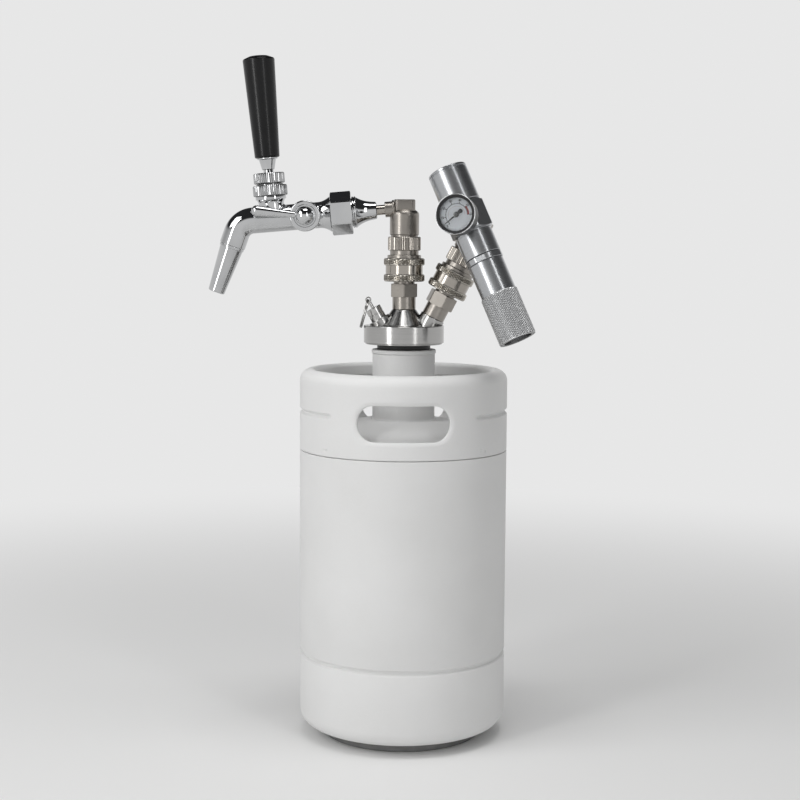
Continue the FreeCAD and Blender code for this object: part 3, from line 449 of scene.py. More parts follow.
# The rim's half section, from the panel's top outside to its top inside, and the foot's, from the
# panel's bottom inside to its bottom outside.
lip = keg_radius - 9.5 - 3.5
rim = [(keg_radius, panel_high), (keg_radius, 287.2)] + arc(keg_radius - 9, rim_top - 9, 9, 4, 90, 14)
rim += arc(keg_radius - 9.5, rim_top - 3.5, 3.5, 96, 180, 9) + [(lip, 291.5), (lip, 289.0)]
rim += arc(lip + 1.1, 289.1, 1.1, 180, 360, 8) + [(lip + 2.2, 292.0)]
rim += arc(keg_radius - 9.5, rim_top - 3.5, 1.3, 180, 96, 5)
rim += arc(keg_radius - 9, rim_top - 9, 6.8, 90, 4, 10) + [(ring_inner, 287.2), (ring_inner, panel_high)]
foot_low = seam + seam_half
ring_foot = [(ring_inner, panel_low), (ring_inner, foot_low)]
ring_foot += arc(keg_radius - 0.5, foot_low + 0.5, 0.5, -90, 0, 4)
ring_foot += [(keg_radius, z) for z in np.arange(235.2, panel_low, 0.4)] + [(keg_radius, panel_low)]

panel_rows = np.concatenate([np.linspace(panel_low, 262.0, 9)[:-1], np.linspace(262.0, 269.0, 18)[:-1],
                             np.linspace(269.0, panel_high, 8)])
front = azimuths[np.abs(azimuths) <= panel_half + 1e-6]
right = azimuths[(azimuths >= panel_half - 1e-6) & (azimuths <= 180 - panel_half + 1e-6)]
left = azimuths[(azimuths <= -panel_half + 1e-6) & (azimuths >= panel_half - 180 - 1e-6)]
back = np.concatenate([azimuths[azimuths >= 180 - panel_half - 1e-6],
                       azimuths[azimuths <= panel_half - 180 + 1e-6] + 360])
blocks = [strip(azimuths, rim, True), strip(azimuths, ring_foot, True)]
blocks += [strip(side, [(r, z) for z in panel_rows])
           for side in (right, left) for r in (keg_radius, ring_inner)]
blocks += [hole_panel(0.0, front), hole_panel(180.0, back)]
attach("top_ring_sheet", joined("top_ring_sheet", blocks, 2e-6, 40), keg_paint, "keg_paint", "keg",
    "top_ring")


# Shoulder: pressed dome inside the ring, coated like the keg, with the neck welded into its middle.
# The neck is turned steel with a rolled bead at its mouth, and a black gasket seals the head on it.
dome_outer = ring_inner - 0.1
skirt_top = seam + 0.5
knuckle_reach, knuckle_rise, dome_rise = 11.7, 12.7, 10.7
crown_z = skirt_top + knuckle_rise
crown_r = dome_outer - knuckle_reach
neck_radius = 25.25
neck_mouth = 314.4
sweep = np.linspace(0, 1, 15)
dome_top = [(crown_r + (neck_radius + 0.1 - crown_r) * s, crown_z + dome_rise * sin(s * pi / 2) ** 0.9)
            for s in sweep[::-1]]
knuckle = [(crown_r + knuckle_reach * sin(s * pi / 2),
            crown_z - knuckle_rise * (1 - cos(s * pi / 2))) for s in sweep[1:]]
dome_under = [(r - 0.9, z - 1.4) for r, z in reversed(dome_top + knuckle[:-3])]
dome_skirt = [(dome_outer, seam - 8), (dome_outer - 1.5, seam - 8)]
dome_section = np.array(dome_top + knuckle + dome_skirt + dome_under)
dome_section[:, 0] = np.maximum(dome_section[:, 0], neck_radius + 0.05)
fit("keg_dome_pressing", upright, [spun(dome_section, 160)], keg_paint, "keg_paint", "keg", "keg_dome",
    crease=32)

weld = [(neck_radius + 2.6 * (1 - sin(v)), crown_z + dome_rise - 0.6 + 2.8 * (1 - cos(v)))
        for v in np.linspace(0, pi / 2, 7)]
neck_section = np.concatenate([
    np.array([(19.0, 249.0), (neck_radius, 249.0)] + weld + [(neck_radius, neck_mouth - 4.2)]),
    outline((neck_radius, neck_mouth - 3.6, 0.5), (26.0, neck_mouth - 2.9, 0.6), (26.0, neck_mouth, 1.1),
            (19.0, neck_mouth, 0.6))])
fit("keg_neck_turning", upright, [spun(neck_section, 128)], keg_paint, "keg_paint", "keg", "keg_neck",
    crease=32)

head_low = 318.7
black_rubber = moulded("black_gasket_rubber", (0.018, 0.018, 0.018), (0.032, 0.032, 0.032), 0.5)
neck_gasket = turned(96, (21.5, neck_mouth, 0.9), (21.5, head_low, 0.9), (18.6, head_low),
                     (18.6, neck_mouth))
fit("neck_gasket_ring", upright, [neck_gasket], black_rubber, "black_rubber", "keg", "neck_gasket",
    crease=32)


# Tapping head: stainless puck turned from bar, with a cone in the middle and two slanting bosses,
# screwed down on the gasket by a spigot inside the neck. The dip tube hangs below it.
def vector(tree, operation, *values):
    """A vector sum from values or outputs."""
    made = node(tree, "VectorMath", dict(enumerate(values)), operation=operation)
    return made.outputs["Value" if operation == "LENGTH" else "Vector"]


def in_frame(tree, coords, place):
    """Object coordinates seen from a piece's own frame: turned, then moved, by a Mapping node."""
    origin, axes = place
    return node(tree, "Mapping", {"Rotation": Matrix(axes.tolist()).to_euler("XYZ"), "Vector": coords,
                                  "Location": tuple(-(axes @ origin) * 0.001)}).outputs["Vector"]


def lathe_lines(tree, local, radius):
    """Fine rings left by a lathe: noise over (radius, height) in fine steps, and barely over the angle,
    so that lines run round the piece's own axis on its sides and its faces alike."""
    step = 0.00016
    x, y, z = node(tree, "SeparateXYZ", {0: local}).outputs
    angle = node(tree, "Math", {0: y, 1: x}, operation="ARCTAN2").outputs[0]
    scaled = [node(tree, "Math", {0: source, 1: factor}, operation="MULTIPLY").outputs[0]
              for source, factor in ((radius, 1 / step), (z, 1 / step), (angle, 0.7))]
    rings = node(tree, "CombineXYZ", dict(enumerate(scaled)))
    return noise(tree, rings.outputs[0], 1.0, 2.5, 0.6)


def along_axis(tree, coords, place):
    """The direction in which highlights stretch: N x (axis x (P - origin)), which runs along the axis
    on a turned side and outwards on a turned face."""
    away = vector(tree, "SUBTRACT", coords, tuple(place[0] * 0.001))
    round_axis = vector(tree, "CROSS_PRODUCT", tuple(place[1][2]), away)
    stretch = vector(tree, "CROSS_PRODUCT", coords.node.outputs["Normal"], round_axis)
    return node(tree, "VectorTransform", {0: vector(tree, "NORMALIZE", stretch)},
                convert_from="OBJECT", convert_to="WORLD").outputs[0]


def turned_metal(name, place, dark, light, rough, depth=0.0000015, stretch=0.6, knurl=None):
    """Metal off the lathe: fine rings in tone, sheen and relief, a slow change of tone, and highlights
    stretched across the rings. A knurl, (groove radius, tip radius) in mm, gets painted shade: its
    colour darkens from the tips down into the grooves."""
    look, tree, shader, coords = blank(name, {"Metallic": 1.0, "Anisotropic": stretch})
    local = in_frame(tree, coords, place)
    radius = vector(tree, "LENGTH", vector(tree, "MULTIPLY", local, (1, 1, 0)))
    lines = lathe_lines(tree, local, radius)
    tone = node(tree, "Mix", {"Factor": 0.45, "A": lines, "B": noise(tree, coords, 55, 3)})
    colour = shade(tree, tone.outputs["Result"], dark, light)
    # Painted shade: the knurl's colour darkens from its tips down into its grooves.
    if knurl:
        groove, tip = knurl
        rise = node(tree, "MapRange", {"Value": radius, "From Min": groove * 0.001, "From Max": tip * 0.001})
        groove_painted_shade = (*[c * 0.4 for c in dark], 1)
        colour = node(tree, "Mix", {"Factor": rise.outputs[0], "A": groove_painted_shade, "B": colour},
                      data_type="RGBA").outputs["Result"]
    feed(tree, shader, {"Base Color": colour, "Roughness": spread(tree, lines, *rough),
                        "Normal": dented(tree, lines, 0.5, depth),
                        "Tangent": along_axis(tree, coords, place)})
    return look


def lean_dir(lean, turn=0.0):
    """Unit vector at an angle from straight up, and an angle from the right towards the front."""
    return np.array([sin(lean) * cos(turn), -sin(lean) * sin(turn), cos(lean)])


steel_dark, steel_light = (0.36, 0.357, 0.35), (0.46, 0.456, 0.447)
head_steel = turned_metal("head_brushed_steel", upright, steel_dark, steel_light, (0.17, 0.25))
head_high = 333.8
post_foot = 346.7
relief_foot = (-20.2, 0.0, 338.8)
relief_dir = lean_dir(radians(-29.6))
relief_place = frame_at(relief_foot, relief_dir, (1, 0, 0))
gas_foot = np.array([23.3, -1.9, 340.6])
gas_dir = lean_dir(radians(27.3), radians(3.5))
reg_up = unit((-0.379, 0.229, 0.897))
reg_front = unit(np.cross(gas_dir, reg_up))
reg_front = reg_front if reg_front[1] < 0 else -reg_front
gas_place = frame_at(gas_foot, gas_dir, reg_front)

puck = outline((0, head_low - 4), (13.0, head_low - 4), (13.0, head_low - 24), (18.5, head_low - 24, 0.6),
               (18.5, head_low), (31.2, head_low, 0.35), (31.2, head_low + 0.9, 0.2),
               (32.4, head_low + 1.1, 0.35), (32.4, head_high, 0.8), (18.8, head_high, 1.2),
               (9.8, post_foot - 0.3, 0.4), (9.0, post_foot), (0, post_foot))
relief_boss = turned(72, (0, -14), (8.7, -14), (8.7, 0, 0.7), (0, 0))
gas_boss = turned(72, (0, -14), (10.2, -14), (10.2, 0, 0.7), (0, 0))
head_grids = [spun(puck, 144), set_in(relief_boss, relief_place), set_in(gas_boss, gas_place)]
fit("tapping_head_turning", upright, head_grids, head_steel, "head_steel", "keg", "tapping_head")


def dress(name, look):
    """Puts a material on a CAD node that keeps its own shape: a piece that is closed in."""
    slots = nodes[name].data.materials
    slots.clear()
    slots.append(look)


dress("dip_tube", turned_metal("tube_steel", upright, steel_dark, steel_light, (0.3, 0.4)))


# Relief valve: turned body with a cross hole, a sprung stem with an eye, and a split pull ring of
# two turns of stainless wire through the eye.
relief_steel = turned_metal("relief_steel", relief_place, (0.44, 0.436, 0.428), (0.54, 0.535, 0.525),
                            (0.14, 0.22))
relief_body = turned(72, (1.45, 0), (6.4, 0), (6.4, 4.0), (6.05, 4.3, 0.1), (6.05, 4.9, 0.1), (6.4, 5.2),
                     (6.4, 10, 0.8), (2.6, 10, 0.3), (2.2, 9.2), (1.45, 9.2))
fit("relief_body_turning", relief_place, [relief_body], relief_steel, "head_steel", "keg", "relief_body")
eye_up = 17.6
eye_point = np.array(relief_foot) + relief_dir * eye_up
eye_place = frame_at(eye_point, (0, 1, 0), relief_dir)
stem = turned(32, (0, -8), (1.3, -8, 0.2), (1.3, eye_up - 1.6), (0, eye_up - 1.6))
eye = turned(40, (1.45, -1.2, 0.5), (2.5, -1.2, 0.5), (2.5, 1.2, 0.5), (1.45, 1.2, 0.5))
fit("relief_stem_pin", upright, [set_in(stem, relief_place), set_in(eye, eye_place)], relief_steel,
    "head_steel", "relief_stem", "relief_stem", crease=32)


def swept(path, side, up_dirs, radii, count):
    """Tube along a path: point j of row i is path_i + r_i (cos a_j side_i + sin a_j up_i), and both ends
    close to a point."""
    a = np.linspace(0, 2 * pi, count, endpoint=False)
    ring = np.cos(a)[None, :, None] * side[:, None] + np.sin(a)[None, :, None] * up_dirs[:, None]
    tube = path[:, None] + ring * np.asarray(radii, float)[:, None, None]
    first, last = np.repeat(path[:1, None], count, 1), np.repeat(path[-1:, None], count, 1)
    return np.concatenate([first, tube, last])


ring_radius = 11.5
wire_radius = 0.65
wire_steps = 240
ring_lean = radians(15)
hang = np.array([-sin(ring_lean), 0, -cos(ring_lean)])
across_ring = np.array([cos(ring_lean), 0, -sin(ring_lean)])
turns = np.linspace(0.06, 4 * pi - 0.06, wire_steps)
shift = np.clip((turns - 2 * pi) / 0.7 + 0.5, 0, 1)
shift = (shift * shift * (3 - 2 * shift) - 0.5) * 1.12
spoke = np.cos(turns)[:, None] * hang + np.sin(turns)[:, None] * np.array([0, 1.0, 0])
wire = eye_point + hang * ring_radius + spoke * ring_radius + shift[:, None] * across_ring
wire_radii = np.full(wire_steps, wire_radius * 0.96)
wire_radii[[0, -1]] = wire_radius * 0.6
ring_grid = swept(wire, spoke, np.repeat(across_ring[None], wire_steps, 0), wire_radii, 14)
fit("pull_ring_wire", upright, [ring_grid], relief_steel, "head_steel", "relief_ring", "relief_ring",
    crease=32)


# Posts and quick disconnects, one pair for liquid and one for gas. Each post is a hexagon and a plug
# screwed into the head; over it sits a ball cup with a sprung sleeve with two knurled rims, then a
# knurled collar, a plain upper body and an elbow with flats. Turned stainless with a warm tone.
def nut(across, low, high, bore, ease, turn=0.0, steps=9, corner_flat=0.25):
    """Hexagonal nut: r = half across / cos(angle from the flat's middle), with the corners' tips
    flattened, and both end faces cut by a cone that leaves the curved lines of a real nut."""
    tip = across / sqrt(3)
    reach = acos(across / 2 / (tip - corner_flat))
    lean = np.concatenate([np.linspace(-reach, reach, steps)] * 6)
    a = lean + np.repeat(np.arange(6) * pi / 3 + pi / 6, steps) + radians(turn)
    r = across / 2 / np.cos(lean)
    face = np.minimum(r, tip - ease)
    drop = np.maximum(r - (tip - ease), 0) * 0.6
    return lofted(a, [(bore, low), (face, low), (r, low + drop), (r, high - drop), (face, high),
                      (bore, high)])


def ribbed(radius, depth, count, low, high, ease, bore):
    """Straight-knurled ring: r drops by depth between count teeth, and both ends are eased."""
    step = np.arange(count * 4)
    ribs = radius - depth * np.array([0, 0.25, 1, 0.25])[step % 4]
    soft = np.minimum(ribs, radius - ease)
    return lofted(step * 2 * pi / (count * 4), [(bore, low), (soft, low), (ribs, low + ease),
                                                   (ribs, high - ease), (soft, high), (bore, high)])


def diamonds(radius, depth, pitch, low, high, head, tail, ease=0.5):
    """Diamond-knurled band between two plain ends. Points lie on a lattice of half a pitch; those whose
    row and column numbers add up to an odd number are the diamonds' tips, the others the crossings of
    the grooves."""
    around = 2 * round(pi * radius / pitch)
    last = max(3, 2 * round((high - low - 2 * ease) / pitch) + 1) - 1
    j = np.arange(around)
    band = []
    for i in range(last + 1):
        r = np.where((i + j) % 2 == 1, radius, radius - depth) if 0 < i < last else radius - depth * 0.7
        band.append((r, low + ease + (high - low - 2 * ease) * i / last))
    return lofted(j * 2 * pi / around, [*head, *band, *tail])


def cut_rod(radius, half_x, half_y, low, high, ease):
    """Round bar with two pairs of flats: r is the least of the bar and the four flats at each angle."""
    a = np.linspace(0, 2 * pi, 120, endpoint=False)
    r = np.minimum(radius, np.minimum(half_x / np.maximum(np.abs(np.cos(a)), 1e-6),
                                      half_y / np.maximum(np.abs(np.sin(a)), 1e-6)))
    return lofted(a, [(0, low), (r, low), (r, high - ease), (r - ease * 0.3, high - ease * 0.3),
                      (r - ease, high), (0, high)])


cup_low = 22.3
sleeve_high = cup_low + 18.7
sleeve_bore, rim_edge, rim_height = 13.68, 15.9, 5.8
stop = sleeve_high + 2.2 + 0.3
collar_low = stop + 3.6
collar_high = collar_low + 11.0
upper_low = collar_high + 0.7
upper_high = upper_low + 15.9
elbow_z = 81.05
elbow_top = 87.8
nickel_tones = (0.34, 0.315, 0.285), (0.44, 0.41, 0.37)
liquid_place = frame_at((0, 0, post_foot), (0, 0, 1), (1, 0, 0))
tap_droop = radians(5)
tap_dir = np.array([-cos(tap_droop), 0, -sin(tap_droop)])
tap_up = np.array([-sin(tap_droop), 0, cos(tap_droop)])
neck = outline((3.4, 0), (9.4, 0, 0.3), (9.4, 9.9), (3.4, 9.9))
plug = outline((3.4, 20.4), (8.5, 20.4, 0.2), (8.5, 24.6), (7.9, 27.0, 1.5), (8.5, 29.4), (8.5, 45, 1.5),
               (3.4, 45))
cup = outline((8.62, 45.5), (8.62, cup_low, 0.3), (13.6, cup_low, 0.4), (13.6, stop, 0.5),
              (11.5, stop, 0.3), (11.5, collar_low + 1), (10.9, collar_low + 1), (10.9, upper_low + 0.5),
              (11.2, upper_low + 0.5), (11.8, upper_low + 1.1, 0.5), (11.8, upper_high + 2.6, 5.0),
              (8.6, upper_high + 5.2, 2.6), (2.6, upper_high + 5.2), (2.6, 45.5))
spigot = outline((2.6, 2), (6.2, 2), (6.2, 15.8, 0.3), (2.6, 15.8))
welt = outline((6.0, 8.2), (7.2, 8.2, 0.4), (7.2, 9.6, 0.5), (6.0, 9.8))
rims = [diamonds(16.6, 0.6, 1.6, low, low + rim_height, ((sleeve_bore, low), (rim_edge, low)),
                 ((rim_edge, low + rim_height), (sleeve_bore, low + rim_height)))
        for low in (cup_low, sleeve_high - rim_height)]
waist = outline((sleeve_bore, cup_low + rim_height), (15.0, cup_low + rim_height),
                (15.0, sleeve_high - rim_height), (sleeve_bore, sleeve_high - rim_height))

for side, place, body, outlet in (("liquid", liquid_place, "tap", tap_dir),
                                  ("gas", gas_place, "regulator", reg_front)):
    nickel = turned_metal(side + "_warm_nickel", place, *nickel_tones, (0.13, 0.22))
    satin_nickel = turned_metal(side + "_satin_nickel", place, (0.28, 0.26, 0.235), (0.38, 0.355, 0.325),
                                (0.30, 0.40))
    # Painted shade: the ribbed collar's nickel darkens in the grooves between its ribs.
    ribbed_nickel_groove_shade = turned_metal(side + "_ribbed_nickel_groove_shade", place, *nickel_tones, (0.16, 0.24),
                                 knurl=(12.55, 12.95))
    # Painted light: the knurled rims are a lighter copy of the nickel, a painted highlight for the knurl's
    # sparkle, with painted shade in the grooves.
    painted_bright_knurl_nickel = turned_metal(side + "_knurl_nickel_painted_light", place, (0.52, 0.49, 0.44), (0.66, 0.62, 0.56),
                                (0.16, 0.24), knurl=(15.95, 16.3))
    fit(side + "_post_turning", place, [spun(neck, 64), nut(20.9, 9.9, 20.4, 3.4, 0.9, 30), spun(plug, 64)],
        satin_nickel, "fitting_nickel", "keg", side + "_post")
    out_place = frame_at(place[0] + place[1][2] * elbow_z, outlet, (0.1, 0.2, 1))
    elbow = cut_rod(9.9, 8.6, 7.8, upper_high, elbow_top, 0.9)
    grids = [set_in(grid, place) for grid in (spun(cup), elbow)]
    grids += [set_in(spun(section, 64), out_place) for section in (spigot, welt)]
    fit(side + "_disconnect_turning", upright, grids, satin_nickel, "fitting_nickel", body,
        side + "_disconnect")
    collar = ribbed(13.2, 0.45, 56, collar_low, collar_high, 0.6, 10.5)
    fit(side + "_collar_knurl", place, [collar], ribbed_nickel_groove_shade, "fitting_nickel", body, crease=15)
    fit(side + "_sleeve_rims", place, rims, painted_bright_knurl_nickel, "fitting_nickel", side + "_sleeve",
        side + "_sleeve", crease=20, knurled=True)
    fit(side + "_sleeve_waist", place, [spun(waist)], nickel, "fitting_nickel", side + "_sleeve")
    dress(side + "_balls", nickel)


# Tap: a thin link tube, a shank like a trumpet with two beads, a coupling nut, and a cast faucet body
# with a bend, all brass, polished and chromed. The spout is screwed on below the bend. The chrome has
# a slight wave from the polishing wheel, and faint smears in its sheen.
def chromed(name, rough=(0.03, 0.075), dark=(0.50, 0.505, 0.51), light=(0.58, 0.585, 0.59)):
    return mottled(name, ((45, 4), dark, light), ((180, 5, 0.65), *rough),
                   (((70, 1), 0.25, 0.00012), ((1800, 2), 0.06, 0.00002)), {"Metallic": 1.0})


chrome = chromed("tap_polished_chrome")
tap_origin = np.array([0, 0, post_foot + elbow_z])
tap_place = frame_at(tap_origin, tap_dir, tap_up)
link_nickel = turned_metal("link_nickel", tap_place, *nickel_tones, (0.16, 0.26))
tail_link = turned(64, (2.6, 15.8), (4.0, 15.8), (4.0, 22.4), (2.6, 22.4))
fit("tail_link_tube", tap_place, [tail_link], link_nickel, "fitting_nickel", "tap", "tail_link", crease=32)

trumpet = [(2.6, 22.4), (6.2, 22.4), (6.85, 22.9), (7.0, 23.6)]
trumpet += [(7.0 + 5.0 * (0.28 * s + 0.72 * s ** 2.6), 23.6 + 15.0 * s) for s in np.linspace(0, 1, 18)[1:]]
for bead in (0, 1):
    bead_z = 38.6 + 1.7 * (bead + 0.5)
    trumpet += [(11.7 + cos(v), bead_z + 0.85 * sin(v)) for v in np.linspace(-1.35, 1.35, 9)]
trumpet += [(11.2, 42.0), (11.2, 50.4), (2.6, 50.4)]
fit("tap_shank_turning", tap_place, [spun(trumpet)], chrome, "tap_chrome", "tap", "tap_shank", crease=32)
fit("coupling_nut_machined", tap_place, [nut(30.4, 42.4, 59.0, 11.4, 1.2, corner_flat=0.3)], chrome,
    "tap_chrome", "tap", "coupling_nut", crease=20)

bar = 10.5
bend_radius = 15.0
corner_along, stack_along, flow_along = 132.1, 106.3, 79.6
spout_lean = radians(19.5)
spout_dir = np.array([-sin(spout_lean), 0, -cos(spout_lean)])
bend_turn = acos(float(tap_dir @ spout_dir))
cut = bend_radius * tan(bend_turn / 2)
corner = tap_origin + tap_dir * corner_along
bend_centre = corner - tap_dir * cut - tap_up * bend_radius
cone_s = np.linspace(0, 1, 14)
cone_r = bar + 3.7 * (1 - np.sin(cone_s * pi / 2)) ** 1.15
along = np.concatenate([[59.3], 59.7 + cone_s * 9.6, np.linspace(72, corner_along - cut, 16)])
straight = tap_origin + np.outer(along, tap_dir)
swing = np.linspace(0, bend_turn, 26)[1:]
bend = bend_centre + bend_radius * (np.outer(np.cos(swing), tap_up) + np.outer(np.sin(swing), tap_dir))
down = corner + np.outer([14.0, 18.0, 20.2, 20.5], spout_dir)
route = np.concatenate([straight, bend, down])
headings = np.concatenate([np.repeat(tap_dir[None], len(straight), 0),
                           np.outer(np.cos(swing), tap_dir) - np.outer(np.sin(swing), tap_up),
                           np.repeat(spout_dir[None], len(down), 0)])
y_dir = np.repeat(np.array([[0, 1.0, 0]]), len(route), 0)
radii = np.concatenate([[13.8], cone_r, np.full(len(route) - 16, bar), [bar - 0.3]])
barrel = swept(route, np.cross(y_dir, headings), y_dir, radii, 96)

stack_place = frame_at(tap_origin + tap_dir * stack_along, tap_up, -tap_dir)


def boss_on_bar(profile, reach, bore, inside):
    """Hollow boss standing on the bar: its foot follows the bar, z = sqrt(bar^2 - (r sin a)^2), and flares
    out by reach on a quarter circle where the bar's back is broad enough to carry it."""
    a = np.linspace(0, 2 * pi, 96, endpoint=False)
    flare = reach * np.cos(a) ** 2
    rows = [(bore, inside)]
    for t in np.linspace(0, pi / 2, 9):
        r = profile[0][0] + flare * (1 - sin(t))
        z = np.sqrt(np.clip(bar ** 2 - (r * np.sin(a)) ** 2, 0, None)) - 0.15 + flare * (1 - cos(t))
        rows.append((r, z))
    return lofted(a, rows + profile[1:] + [(bore, profile[-1][1]), (bore, inside)])


neck_curve = [(10.2, 0), (10.2, 12.2)]
neck_curve += [(10.2 + 2.1 * (1 - cos(v)), 12.4 + 3.2 * sin(v) ** 1.4) for v in np.linspace(0.2, 1.57, 8)]
neck_curve += [(12.3, 17.9), (12.1, 18.3)]
stack_boss = boss_on_bar(neck_curve, 1.6, 9.2, 6.0)
side_place = frame_at(tap_origin + tap_dir * flow_along, (0, -1, 0), tap_dir)
flow_boss = turned(96, (0, 0.4), (12.4, 0.4, 2.6), (12.4, 11.2, 0.5), (0, 11.2))
over_bore = np.abs(flow_boss[..., 1]) < 6.5
flow_boss[..., 2] = np.where(over_bore, np.maximum(flow_boss[..., 2], 6.4), flow_boss[..., 2])
fit("faucet_body_casting", upright,
    [barrel, set_in(stack_boss, stack_place), set_in(flow_boss, side_place)], chrome, "tap_chrome", "tap",
    "faucet_body")

spout_place = frame_at(corner, spout_dir, (1, 0, 0))
spout = turned(96, (4.5, 20.55), (10.0, 20.55, 0.3), (10.0, 22.7, 0.5), (9.4, 22.9, 0.2), (6.7, 59.4, 0.5),
               (6.1, 60, 0.3), (5.3, 60), (4.5, 32.6))
fit("spout_turning", spout_place, [spout], chrome, "tap_chrome", "tap", "spout")

# Flow control: a ball hub on a cross shaft inside a polished ring, with a lever that thickens to a
# round free end. Chromed like the tap.
side_ring = turned(96, (8.8, 11.4), (12.4, 11.4, 0.3), (12.4, 14.6, 2.0), (8.8, 14.6, 0.5))
fit("side_ring_turning", side_place, [side_ring], chrome, "tap_chrome", "tap", "side_ring")
rise = radians(10.6)
hub_radius, end_radius, end_along = 7.5, 4.4, 38.0
hub_centre = side_place[0] + side_place[1][2] * 17.6
paddle_dir = cos(rise) * side_place[1][0] - sin(rise) * side_place[1][1]
paddle_place = frame_at(hub_centre, paddle_dir, (0, 1, 0))
x = np.concatenate([-hub_radius * np.cos(np.linspace(0, pi, 33))[:-2], np.linspace(7.6, end_along, 14)])
ball_r = np.sqrt(np.clip(hub_radius ** 2 - x ** 2, 0, None))
bar_r = np.where(x > 3, 2.2 + 2.2 * (x - 6) / 32, 0)
lever_r = (ball_r ** 5 + np.clip(bar_r, 0, None) ** 5) ** 0.2
tip = [(end_radius * cos(v), end_along + end_radius * sin(v)) for v in np.linspace(0, pi / 2, 10)[1:]]
lever_section = np.concatenate([np.stack([lever_r, x], 1), np.array(tip)])
lever_section[0, 0] = lever_section[-1, 0] = 0
shaft = turned(48, (0, -3), (4.0, -3, 0.3), (4.0, 16), (0, 16))
fit("flow_lever_forging", upright,
    [set_in(spun(lever_section, 64), paddle_place), set_in(shaft, side_place)], chrome, "tap_chrome",
    "flow_lever", "flow_lever", crease=60)

# Handle: two knurled collars hold the lever's ball on the faucet, a chrome ferrule with a flange sits on
# the stud above, and the grip is turned, tapered and gloss black.
bonnet = [ribbed(13.8, 0.65, 50, 18.35, 26.75, 0.7, 8.1),
          turned(96, (8.1, 26.0), (10.8, 26.0), (10.8, 27.95, 0.3), (8.1, 27.95))]
top_collar = [ribbed(12.5, 0.65, 46, 28.2, 36.5, 0.7, 9.3),
              turned(96, (9.2, 36.5), (9.8, 36.2), (9.8, 28.8), (8.1, 28.8), (6.95, 30.5))]
# Painted shade: the knurled collars are a darker copy of the chrome, and darker still in their grooves.
for name, grids, look_name, knurl in (("bonnet", bonnet, "bonnet_ribbed_chrome_painted_shade", (13.1, 13.6)),
                                      ("top_collar", top_collar, "collar_ribbed_chrome_painted_shade", (11.8, 12.3))):
    look = turned_metal(look_name, stack_place, (0.44, 0.444, 0.448), (0.54, 0.545, 0.55), (0.10, 0.16),
                        stretch=0, knurl=knurl)
    fit(name + "_knurled", stack_place, grids, look, "tap_chrome", "tap", name)
ball = [(8.0 * cos(v), 25.6 + 8.0 * sin(v)) for v in np.linspace(-1.4, 1.0, 26)]
stud = [(0.0, 17.6)] + ball + [(4.0, 33.0), (4.0, 66.0), (3.4, 66.7), (0.0, 66.7)]
foot = turned(40, (0, -2.6), (2.3, -2.0, 1.4), (2.55, 0, 0.8), (2.0, 1.7, 0.5), (2.0, 18.5), (0, 18.5))
fit("handle_lever_turning", stack_place, [spun(stud, 64), foot], chrome, "tap_chrome", "handle",
    "handle_lever", crease=40)
ferrule = turned(96, (4.05, 39.3), (5.0, 39.3, 0.3), (6.8, 47.2, 0.4), (8.2, 47.6, 0.4), (8.2, 48.7, 0.35),
                 (4.05, 48.7))
fit("ferrule_turning", stack_place, [ferrule], chrome, "tap_chrome", "handle", "ferrule", crease=24)


def gloss_black(name):
    """Lacquered black plastic: deep and even, a clear coat, faint hairlines and dust in the sheen."""
    return mottled(name, ((60, 4), (0.003, 0.003, 0.0035), (0.006, 0.006, 0.0065)),
                   ((260, 5, 0.7), 0.26, 0.36), (((900, 2), 0.05, 0.00003),),
                   {"Specular IOR Level": 0.18, "Coat Weight": 0.15, "Coat Roughness": 0.06})


grip_low = 48.75
grip_high = grip_low + 80.6
grip_section = outline((4.05, grip_low), (9.9, grip_low, 1.2), (10.9, grip_low + 26, 60),
                       (12.75, grip_high - 2.6, 1.6), (7.5, grip_high - 0.35, 5.0), (0, grip_high))
fit("tap_grip", stack_place, [spun([(0.0, grip_low), *grip_section], 128)], gloss_black("grip_gloss_black"),
    "handle_black", "handle", "tap_handle", crease=30)
dress("shuttle", chrome)
dress("shuttle_seal", black_rubber)


# Regulator: hexagonal body with chamfered ends hung on the disconnect, a plain adjusting knob above,
# a turned barrel and a ring with wrench flats below, and a sleeve over the gas cartridge with a
# diamond-knurled lower half. All satin turned aluminium but the plated steel cartridge.
reg_reach = 38.1
gas_elbow = gas_foot + gas_dir * elbow_z
reg_centre = gas_elbow + reg_front * reg_reach
reg_place = frame_at(reg_centre, reg_up, np.cross(reg_up, reg_front))
satin = turned_metal("regulator_satin_aluminium", reg_place, (0.44, 0.45, 0.465), (0.50, 0.51, 0.52),
                     (0.27, 0.30), depth=0.0000006, stretch=0.75)
# Painted light: the knurled half is a lighter copy of the satin aluminium, a painted highlight for the
# knurl's sparkle, with painted shade in its grooves.
painted_bright_knurled_satin = turned_metal("regulator_knurl_painted_light", reg_place, (0.66, 0.665, 0.67),
                             (0.74, 0.745, 0.75), (0.36, 0.42), stretch=0.1, knurl=(14.25, 14.6))
nut_place = frame_at(gas_elbow, reg_front, reg_up)
outlet_nickel = turned_metal("outlet_nickel", nut_place, *nickel_tones, (0.16, 0.26))
fit("outlet_nut_machined", nut_place, [nut(18.0, 12.2, 22.95, 6.3, 0.8)], outlet_nickel, "fitting_nickel",
    "regulator", "outlet_nut", crease=20)
hexagon = nut(30.2, -10.7, 12.6, 0, 2.6, steps=11, corner_flat=0.45)
reg_neck = turned(72, (0, 11.6), (12.2, 11.6), (12.2, 34.0, 0.4), (0, 34.0))
fit("regulator_body_machined", reg_place, [hexagon, reg_neck], satin, "reg_aluminium", "regulator",
    "regulator_body", crease=20)
